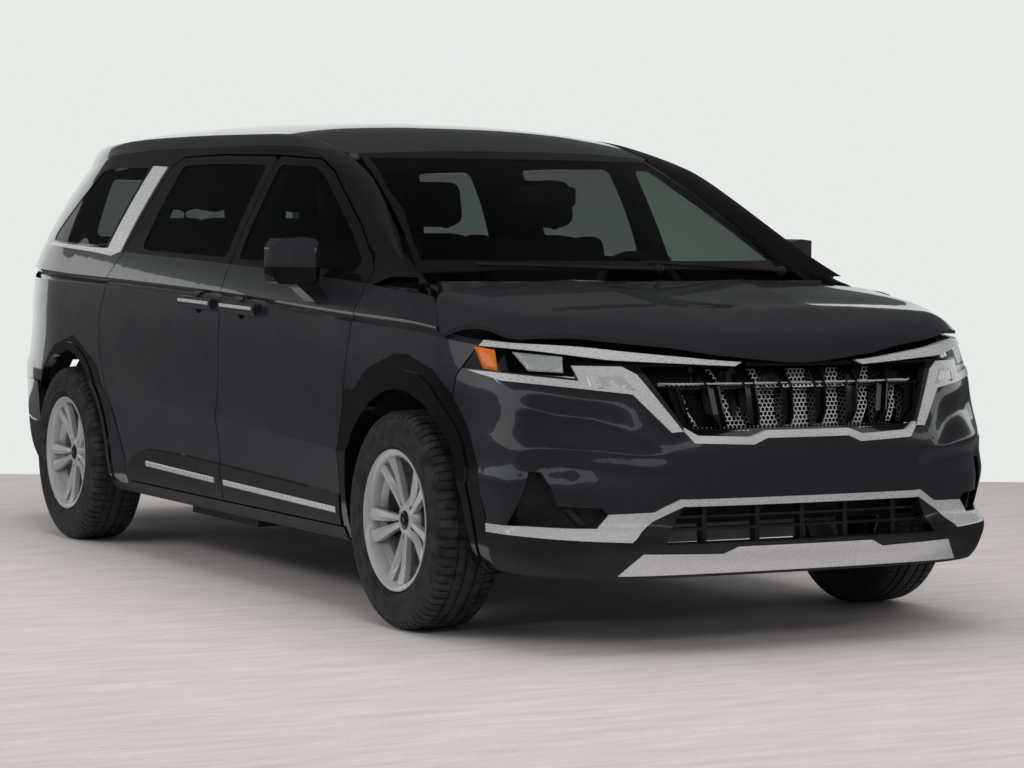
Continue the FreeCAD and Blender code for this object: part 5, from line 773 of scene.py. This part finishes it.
strip_width, strip_height, grip_width, grip_height = 0.021, 0.0035, 0.012, 0.002
strip_steps, grip_steps, door_skin = 12, 10, 0.9
strip_runs = {"front_door": ((-1.141, 0.3475), (-0.187, 0.3640)),
              "sliding_door": ((-0.161, 0.3645), (0.578, 0.3775))}
grip_runs = {"front_door": ((-0.505, 1.0110), (-0.215, 1.0165)),
             "sliding_door": ((-0.108, 1.0195), (0.180, 1.0250))}
for side_name, side in (("right", -1), ("left", 1)):
    for door, ((y0, z0), (y1, z1)) in strip_runs.items():
        spots = [on_side(y0 + (y1 - y0) * k / strip_steps, z0 + (z1 - z0) * k / strip_steps, side,
                         door + "_" + side_name) for k in range(strip_steps + 1)]
        spots = [spot for spot in spots if spot and abs(spot[0].x) > door_skin]
        body = "body" if door == "sliding_door" else door + "_" + side_name
        mesh_piece(door + "_strip_" + side_name,
                   lambda shape: lay_along(shape, spots, bar_section(strip_width, strip_height)),
                   body, satin, smooth=False)
    for door, ((y0, z0), (y1, z1)) in grip_runs.items():
        spots = [on_side(y0 + (y1 - y0) * k / grip_steps, z0 + (z1 - z0) * k / grip_steps, side,
                         door + "_" + side_name) for k in range(grip_steps + 1)]
        spots = [spot for spot in spots if spot]
        body = "body" if door == "sliding_door" else door + "_" + side_name
        mesh_piece(door + "_handle_bar_" + side_name,
                   lambda shape: lay_along(shape, spots, bar_section(grip_width, grip_height)),
                   body, satin, smooth=False)

# Headlamps
# The real lamp is a housing with a projector, an amber marker and a lit band under a clear cover. Here each
# of these is a thin shaped plate laid on the outside of the cover.

# The flutes are 4 mm across and the reflector's facets 8 mm.
flutes_per_metre, facets_per_metre, guide_wave_scale = 240.0, 130.0, 60.0
flute_depth, facet_depth, guide_prism_depth = 0.0005, 0.0015, 0.0008
amber, tree = material("amber_lens")
flutes = add(tree, "TexVoronoi", {"Vector": place(tree), "Scale": flutes_per_metre}).outputs["Distance"]
finish_material(amber, shader_of(tree, Base_Color=mix_colour(tree, flutes, srgb("e07a1c"), srgb("c05a10")),
                                 Roughness=0.22, Coat_Weight=1.0, Coat_Roughness=0.04,
                                 Normal=bump(tree, flutes, flute_depth, 0.6)))
reflector, tree = material("silvered_reflector")
facets = add(tree, "TexVoronoi", {"Vector": place(tree), "Scale": facets_per_metre}).outputs["Distance"]
silvered = mix_colour(tree, facets, srgb("d6d8da"), srgb("eef0f2"))
finish_material(reflector, shader_of(tree, Base_Color=silvered,
                                     Metallic=0.6, Roughness=0.16,
                                     Normal=bump(tree, facets, facet_depth, 0.8)))
lit_band, tree = material("frosted_light_guide")
prisms = add(tree, "TexWave", {"Vector": place(tree), "Scale": guide_wave_scale}).outputs["Fac"]
finish_material(lit_band, shader_of(tree, Base_Color=mix_colour(tree, prisms, srgb("d9dcdf"), srgb("f4f5f6")),
                                    Roughness=0.25, Coat_Weight=0.8, Coat_Roughness=0.05,
                                    Normal=bump(tree, prisms, guide_prism_depth, 0.6)))


edge_rise, edge_share = 5.0, 0.35


def raised_patch(shape, corners, lift, thick, steps=6):
    """A plate that follows the face under four corners, each a (place, outward direction)."""
    a, b, c, d = corners
    rows = []
    for i in range(steps + 1):
        row = []
        for j in range(steps + 1):
            u, v = i / steps, j / steps
            at = (a[0] * (1 - u) + b[0] * u) * (1 - v) + (d[0] * (1 - u) + c[0] * u) * v
            out = ((a[1] * (1 - u) + b[1] * u) * (1 - v) + (d[1] * (1 - u) + c[1] * u) * v).normalized()
            round_off = min(1.0, edge_rise * min(u, 1 - u, v, 1 - v) + edge_share)
            top = shape.verts.new(at + out * (lift + thick * round_off))
            row.append((top, shape.verts.new(at + out * lift)))
        rows.append(row)
    for i in range(steps):
        for j in range(steps):
            for layer in (0, 1):
                shape.faces.new([rows[i + p][j + q][layer] for p, q in ((0, 0), (1, 0), (1, 1), (0, 1))])
    rim = [rows[i][0] for i in range(steps + 1)] + [rows[steps][j] for j in range(1, steps + 1)]
    rim += [rows[i][steps] for i in range(steps - 1, -1, -1)] + [rows[0][j] for j in range(steps - 1, 0, -1)]
    for near, far in zip(rim, rim[1:] + rim[:1]):
        shape.faces.new((near[0], far[0], far[1], near[1]))
    bmesh.ops.recalc_face_normals(shape, faces=shape.faces)


def mirrored(spot, side):
    """The same place and direction on the van's other side."""
    if side < 0:
        return spot
    return Vector((-spot[0].x, spot[0].y, spot[0].z)), Vector((-spot[1].x, spot[1].y, spot[1].z))


lamp_lift = 0.0006
lamp_nodes = ("headlamps", "front_trim", "front_bumper", "fenders", "grille", "bonnet")
lamp_parts = {"amber_marker": (((474, 346), (495, 350), (498, 371), (483, 369)), amber, 0.0012),
              "projector": (((512, 352), (562, 357), (563, 373), (528, 371)), reflector, 0.0014),
              "turn_lamp": (((595, 374.9), (620.3, 374.9), (635.8, 390.3), (599, 388.7)), reflector, 0.0016),
              "running_lamp": (((487, 372), (588, 378), (592, 388), (500, 384)), lit_band, 0.0016)}
for side_name, side in (("right", -1), ("left", 1)):
    for part, (pixels, surface, thick) in lamp_parts.items():
        corners = [seen(px, py, *lamp_nodes) for px, py in pixels]
        if all(corners):
            corners = [mirrored(corner, side) for corner in corners]
            mesh_piece(part + "_" + side_name, lambda shape: raised_patch(shape, corners, lamp_lift, thick),
                       "body", surface)

# Grille mesh
# Moulded black mesh stands in front of the grille's back plate, between its blades. Each cell is a
# hexagonal ring that overlaps its neighbours.

mesh_tree, given = growing_tree("moulded_mesh", Width="Float", Height="Float", Columns="Int", Rows="Int",
                                Cell="Float", Rod="Float")
link = mesh_tree.links.new
spots = node_in(mesh_tree, "GeometryNodeMeshGrid")
for wanted, socket in (("Width", "Size X"), ("Height", "Size Y"), ("Columns", "Vertices X"),
                       ("Rows", "Vertices Y")):
    link(given.outputs[wanted], spots.inputs[socket])
stagger = node_in(mesh_tree, "GeometryNodeSetPosition")
index = node_in(mesh_tree, "GeometryNodeInputIndex")
odd = node_in(mesh_tree, "ShaderNodeMath", operation="MODULO")
odd.inputs[1].default_value = 2.0
shift = node_in(mesh_tree, "ShaderNodeMath", operation="MULTIPLY")
offset = node_in(mesh_tree, "ShaderNodeCombineXYZ")
half_cell = node_in(mesh_tree, "ShaderNodeMath", operation="MULTIPLY")
half_cell.inputs[1].default_value = 0.5
link(index.outputs[0], odd.inputs[0])
link(odd.outputs[0], shift.inputs[0])
link(given.outputs["Cell"], half_cell.inputs[0])
link(half_cell.outputs[0], shift.inputs[1])
link(shift.outputs[0], offset.inputs[0])
link(spots.outputs["Mesh"], stagger.inputs["Geometry"])
link(offset.outputs[0], stagger.inputs["Offset"])
cell_line = node_in(mesh_tree, "GeometryNodeCurvePrimitiveCircle")
cell_line.inputs["Resolution"].default_value = 6
reach = node_in(mesh_tree, "ShaderNodeMath", operation="MULTIPLY")
reach.inputs[1].default_value = 0.56
link(given.outputs["Cell"], reach.inputs[0])
link(reach.outputs[0], cell_line.inputs["Radius"])
rod_line = node_in(mesh_tree, "GeometryNodeCurvePrimitiveCircle")
rod_line.inputs["Resolution"].default_value = 4
link(given.outputs["Rod"], rod_line.inputs["Radius"])
rods = node_in(mesh_tree, "GeometryNodeCurveToMesh")
link(cell_line.outputs["Curve"], rods.inputs["Curve"])
link(rod_line.outputs["Curve"], rods.inputs["Profile Curve"])
set_out(mesh_tree, given, stagger.outputs["Geometry"], rods.outputs["Mesh"])

grille_low, grille_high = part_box("grille")
cell, rod_radius, row_step_share = 0.0150, 0.0011, 0.87
mesh_side_gap, mesh_top_gap = 0.07, 0.055
columns = int((grille_high.x - grille_low.x - mesh_side_gap) / cell)
mesh_height = grille_high.z - grille_low.z - mesh_top_gap
rows = 2 * int(mesh_height / (cell * row_step_share) / 2) + 1
hex_mesh = grown_mesh(mesh_tree, Width=columns * cell, Height=rows * cell * row_step_share,
                      Columns=columns + 1,
                      Rows=rows + 1,
                      Cell=cell, Rod=rod_radius, Finish=black_plastic)
middle_z = (grille_low.z + grille_high.z) / 2
clear_of_plate, reach_past_blade = 0.003, 0.045


def plate_behind(x, z):
    """Depth of the grille's back plate, found between the blades."""
    hits = [on_front(x + reach_past_blade * k / 3, z, "grille") for k in range(-3, 4)]
    depths = [hit[0].y for hit in hits if hit]
    return max(depths) if len(depths) == len(hits) else None


kept = bmesh.new()
kept.from_mesh(hex_mesh)
loose = []
for vert in kept.verts:
    x, z = vert.co.x, middle_z + vert.co.y
    depth = plate_behind(x, z)
    if depth is None:
        loose.append(vert)
    else:
        vert.co = Vector((x, depth - clear_of_plate + vert.co.z, z))
bmesh.ops.delete(kept, geom=loose, context="VERTS")
grille_mesh = bpy.data.meshes.new("grille_mesh")
kept.to_mesh(grille_mesh)
kept.free()
mesh_owner = bpy.data.objects.new("grille_mesh", grille_mesh)
bpy.context.collection.objects.link(mesh_owner)
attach(mesh_owner, "body")

# Bright crossbar
# A thin satin bar is clipped across the upper grille and follows its curve.

half_crossbar, crossbar_height, crossbar_steps, blade_reach = 0.47, 0.834, 24, 0.12
crossbar_width, crossbar_out = 0.0045, 0.0022
bar_spots = [on_front(half_crossbar * (2 * k / crossbar_steps - 1), crossbar_height, "grille", "front_trim")
             for k in range(crossbar_steps + 1)]
bar_spots = [spot for spot in bar_spots if spot]
front_line = [(Vector((s[0].x, min(t[0].y for t in bar_spots if abs(t[0].x - s[0].x) < blade_reach), s[0].z)),
               Vector((0, -1, 0))) for s in bar_spots]
mesh_piece("grille_crossbar",
           lambda shape: lay_along(shape, front_line, bar_section(crossbar_width, crossbar_out)), "body",
           satin, smooth=False)

# Seats
# Foam cushions under sewn leather covers on steel frames. The foam swells between the seams, which run
# along each cushion and across its middle.

padding, seam_depth, seam_half_width, swell = 0.011, 0.0065, 0.010, 0.007
seam_places = (0.24, 0.76)
narrowest_cushion, deep_cushion, seam_fade, tucked_in = 0.30, 0.35, 0.04, 0.004
for seat_node in ("front_seats", "rear_seats"):
    cover = bpy.data.objects.new("padded_" + seat_node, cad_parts[seat_node].data.copy())
    bpy.context.collection.objects.link(cover)
    welded = bmesh.new()
    welded.from_mesh(cover.data)
    bmesh.ops.remove_doubles(welded, verts=welded.verts, dist=0.0002)
    welded.to_mesh(cover.data)
    welded.free()
    skin = cover.modifiers.new("foam", "REMESH")
    skin.mode, skin.voxel_size = "VOXEL", padding
    soften = cover.modifiers.new("soften", "SMOOTH")
    soften.factor, soften.iterations = 0.5, 6
    bpy.context.view_layer.update()
    plump = bpy.data.meshes.new_from_object(cover.evaluated_get(bpy.context.evaluated_depsgraph_get()))
    cover.modifiers.clear()
    cover.data = plump
    sewn = bmesh.new()
    sewn.from_mesh(plump)
    sewn.normal_update()
    waiting = set(sewn.verts)
    while waiting:
        cushion, edge_of = set(), [waiting.pop()]
        while edge_of:
            vert = edge_of.pop()
            cushion.add(vert)
            for joined in vert.link_edges:
                other = joined.other_vert(vert)
                if other in waiting:
                    waiting.discard(other)
                    edge_of.append(other)
        low_x, high_x = min(v.co.x for v in cushion), max(v.co.x for v in cushion)
        low_y, high_y = min(v.co.y for v in cushion), max(v.co.y for v in cushion)
        if high_x - low_x < narrowest_cushion:
            continue
        moved = {}
        for vert in cushion:
            across = (vert.co.x - low_x) / (high_x - low_x)
            along_seat = (vert.co.y - low_y) / max(high_y - low_y, 0.01)
            near_seam = min(abs(across - seam) for seam in seam_places) * (high_x - low_x)
            near_cross = abs(along_seat - 0.5) * (high_y - low_y) if high_y - low_y > deep_cushion else 1.0
            near = min(near_seam, near_cross)
            dip = seam_depth * math.exp(-(near / seam_half_width) ** 2)
            arch = math.sin(math.pi * min(max(across, 0.0), 1.0))
            rise = swell * arch * (1 - math.exp(-(near / seam_fade) ** 2))
            moved[vert] = vert.co + vert.normal * (rise - dip - tucked_in)
        for vert, at in moved.items():
            vert.co = at
    sewn.to_mesh(plump)
    sewn.free()
    plump.materials.clear()
    plump.materials.append(leather)
    for face in plump.polygons:
        face.use_smooth = True
    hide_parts(seat_node)
    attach(cover, "body")

# Interior mirror and mirror glass
# The dipping mirror is a moulded shell on a stalk glued to the windscreen. The door mirrors hold
# silvered glass.


def rounded_block(shape, low, high, radius):
    made = bmesh.ops.create_cube(shape, size=1.0)["verts"]
    low, high = Vector(low), Vector(high)
    for vert in made:
        vert.co = Vector([(low[i] + high[i]) / 2 + vert.co[i] * (high[i] - low[i]) for i in range(3)])
    edges = list({edge for vert in made for edge in vert.link_edges})
    bmesh.ops.bevel(shape, geom=edges, offset=radius, segments=4, profile=0.5, affect="EDGES")
    bmesh.ops.recalc_face_normals(shape, faces=shape.faces)


foot_height, mirror_back, half_mirror, mirror_round = 1.475, 0.075, (0.125, 0.016), 0.014
mirror_foot, mirror_head, half_stalk, stalk_round = 1.385, 1.455, 0.024, 0.009
stalk_low, stalk_high, off_glass, into_shell = 1.435, 1.478, 0.012, 0.004
stalk_foot = touch((0.0, -1.6, foot_height), (0, 1, 0), "windscreen")
if stalk_foot:
    glass_y = stalk_foot[0].y
    mirror_y = glass_y + mirror_back

    def inner_mirror(shape):
        half_wide, half_deep = half_mirror
        rounded_block(shape, (-half_wide, mirror_y - half_deep, mirror_foot),
                      (half_wide, mirror_y + half_deep, mirror_head), mirror_round)
        rounded_block(shape, (-half_stalk, glass_y + off_glass, stalk_low),
                      (half_stalk, mirror_y - into_shell, stalk_high), stalk_round)

    mesh_piece("interior_mirror", inner_mirror, "body", cabin)

haze_per_metre, mirror_lift, mirror_thick = 16.0, 0.0005, 0.0012
glass_corners = ((0.30, 1.235), (0.86, 1.232), (0.86, 1.150), (0.30, 1.150))
silver_glass, tree = material("silvered_mirror_glass")
haze = noise(tree, haze_per_metre, 6.0)
pale_silver = mix_colour(tree, haze, srgb("c4c8cb"), srgb("d8dcdf"))
finish_material(silver_glass, shader_of(tree, Base_Color=pale_silver,
                                        Metallic=1.0, Roughness=ramp(tree, haze, 0.3, 0.8, 0.02, 0.08)))
for side_name, side in (("right", -1), ("left", 1)):
    low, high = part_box("mirror_" + side_name)
    inner_x, outer_x = sorted((low.x, high.x), key=abs)
    span = outer_x - inner_x
    spots = []
    for x_share, z in glass_corners:
        spots.append(touch((inner_x + span * x_share, -0.5, z), (0, -1, 0), "mirror_" + side_name))
    if all(spots):
        mesh_piece("mirror_glass_" + side_name,
                   lambda shape: raised_patch(shape, spots, mirror_lift, mirror_thick),
                   "front_door_" + side_name, silver_glass)

# Studio
# A pale plain floor that ends behind the van, a pale backdrop, soft boxes above and at the sides, and dark
# screens outside the view that shape what the paint reflects.

floor_mesh = bpy.data.meshes.new("floor")
far_edge, near_edge, half_floor = 3.94, -24.0, 24.0
flat_look = Vector((math.sin(yaw), math.cos(yaw), 0))
floor_corners = ((-half_floor, near_edge), (half_floor, near_edge),
                 (half_floor, far_edge), (-half_floor, far_edge))
floor_mesh.from_pydata([flat_look * b + level * a for a, b in floor_corners], [], [(0, 1, 2, 3)])
floor = bpy.data.objects.new("floor", floor_mesh)
bpy.context.collection.objects.link(floor)
floor_streaks_per_metre, floor_stretch = 3.0, (1.0, 6.0, 1.0)
floor_specks_per_metre, speck_depth = 60.0, 0.002
floor_stone, tree = material("pale_floor")
along_view = add(tree, "Mapping", {0: place(tree), 2: (0, 0, yaw), 3: floor_stretch}).outputs[0]
streaks = noise(tree, floor_streaks_per_metre, 8.0, 0.65, along_view)
speckle = noise(tree, floor_specks_per_metre, 6.0, 0.7)
pale = mix_colour(tree, ramp(tree, streaks, 0.35, 0.7), srgb("c4bbba"), srgb("d8d0cf"))
pale = mix_colour(tree, ramp(tree, speckle, 0.45, 0.75, 0.0, 0.35), pale, srgb("aaa3a1"))
finish_material(floor_stone, shader_of(tree, Base_Color=pale, Roughness=0.75,
                                       Normal=bump(tree, speckle, speck_depth, 0.35)))
floor_mesh.materials.append(floor_stone)


def soft_box(name, at, aim, size, power, mirrored=True):
    lamp = bpy.data.lights.new(name, "AREA")
    lamp.shape = "RECTANGLE"
    lamp.size, lamp.size_y = size
    lamp.energy = power
    made = bpy.data.objects.new(name, lamp)
    made.location = at
    made.rotation_euler = (Vector(aim) - Vector(at)).to_track_quat("-Z", "Y").to_euler()
    made.visible_camera = False
    made.visible_glossy = mirrored
    bpy.context.collection.objects.link(made)


soft_box("top_light", (0.0, -0.5, 5.5), (0.0, 0.0, 0.0), (5.0, 9.0), 260.0, mirrored=False)
soft_box("right_light", (-6.5, 1.0, 4.2), (0.0, 0.0, 0.9), (8.0, 1.6), 190.0, mirrored=False)
soft_box("left_light", (6.5, 0.0, 4.2), (0.0, 0.0, 0.9), (8.0, 1.6), 60.0, mirrored=False)
soft_box("front_light", (-1.5, -8.5, 4.6), (0.0, -2.0, 0.8), (6.0, 1.8), 150.0, mirrored=False)
soft_box("rear_light", (0.0, 8.0, 4.2), (0.0, 0.0, 1.0), (6.0, 1.4), 50.0, mirrored=False)

screen_grey, tree = material("dark_screen")
finish_material(screen_grey, shader_of(tree, Base_Color=mix_colour(tree, noise(tree, 2.0), srgb("46484b"),
                                                                   srgb("55575a")), Roughness=0.9))
screen_far, screen_foot, screen_top, screen_sides = 9.5, 0.03, 1.7, 24
apron_half_width, apron_half_length, ceiling_height, ceiling_half = 1.6, 3.2, 6.0, 20.0


def dark_screen(name, corners, faces):
    """A dark surface outside the view that only the van's reflections show."""
    mesh = bpy.data.meshes.new(name)
    mesh.from_pydata(corners, [], faces)
    mesh.materials.append(screen_grey)
    made = bpy.data.objects.new(name, mesh)
    bpy.context.collection.objects.link(made)
    made.visible_camera = made.visible_shadow = made.visible_diffuse = made.visible_transmission = False


gap_share = 0.22
round_van = [(math.cos(2 * math.pi * k / screen_sides), math.sin(2 * math.pi * k / screen_sides))
             for k in range(screen_sides)]
strips = [(2 * k, 2 * k + 1, (2 * k + 3) % (2 * screen_sides), (2 * k + 2) % (2 * screen_sides))
          for k in range(screen_sides)]
ahead_of_camera = [Vector((*round_van[k], 0)).dot(flat_look) for k in range(screen_sides)]
ring_strips = [strip for strip, ahead in zip(strips, ahead_of_camera) if ahead < 1 - gap_share]
dark_screen("ring_screen", [(screen_far * x, screen_far * y, z) for x, y in round_van
                            for z in (screen_foot, screen_top)], ring_strips)
dark_screen("apron_screen", [(x * w, y * w2, screen_foot) for x, y in round_van
                             for w, w2 in ((screen_far, screen_far), (apron_half_width, apron_half_length))],
            strips)
dark_screen("ceiling_screen", [(x * ceiling_half, y * ceiling_half, ceiling_height)
                               for x, y in ((-1, -1), (1, -1), (1, 1), (-1, 1))], [(0, 1, 2, 3)])

world = bpy.data.worlds.new("studio")
bpy.context.scene.world = world
world.use_nodes = True
tree = world.node_tree
tree.nodes.clear()
rays = add(tree, "LightPath")
seen_or_mirrored = math_of(tree, "MAXIMUM", rays.outputs["Is Camera Ray"], rays.outputs["Is Glossy Ray"])
shown = math_of(tree, "MAXIMUM", seen_or_mirrored,
                rays.outputs["Is Transmission Ray"])
backdrop = add(tree, "Background", {0: srgb("e7ebe7"), 1: 1.0})
fill = add(tree, "Background", {0: srgb("e7ebe7"), 1: 0.45})
sky = add(tree, "MixShader", {0: shown, 1: fill.outputs[0], 2: backdrop.outputs[0]})
add(tree, "OutputWorld", {0: sky.outputs[0]})

bpy.context.scene.view_settings.view_transform = "Standard"
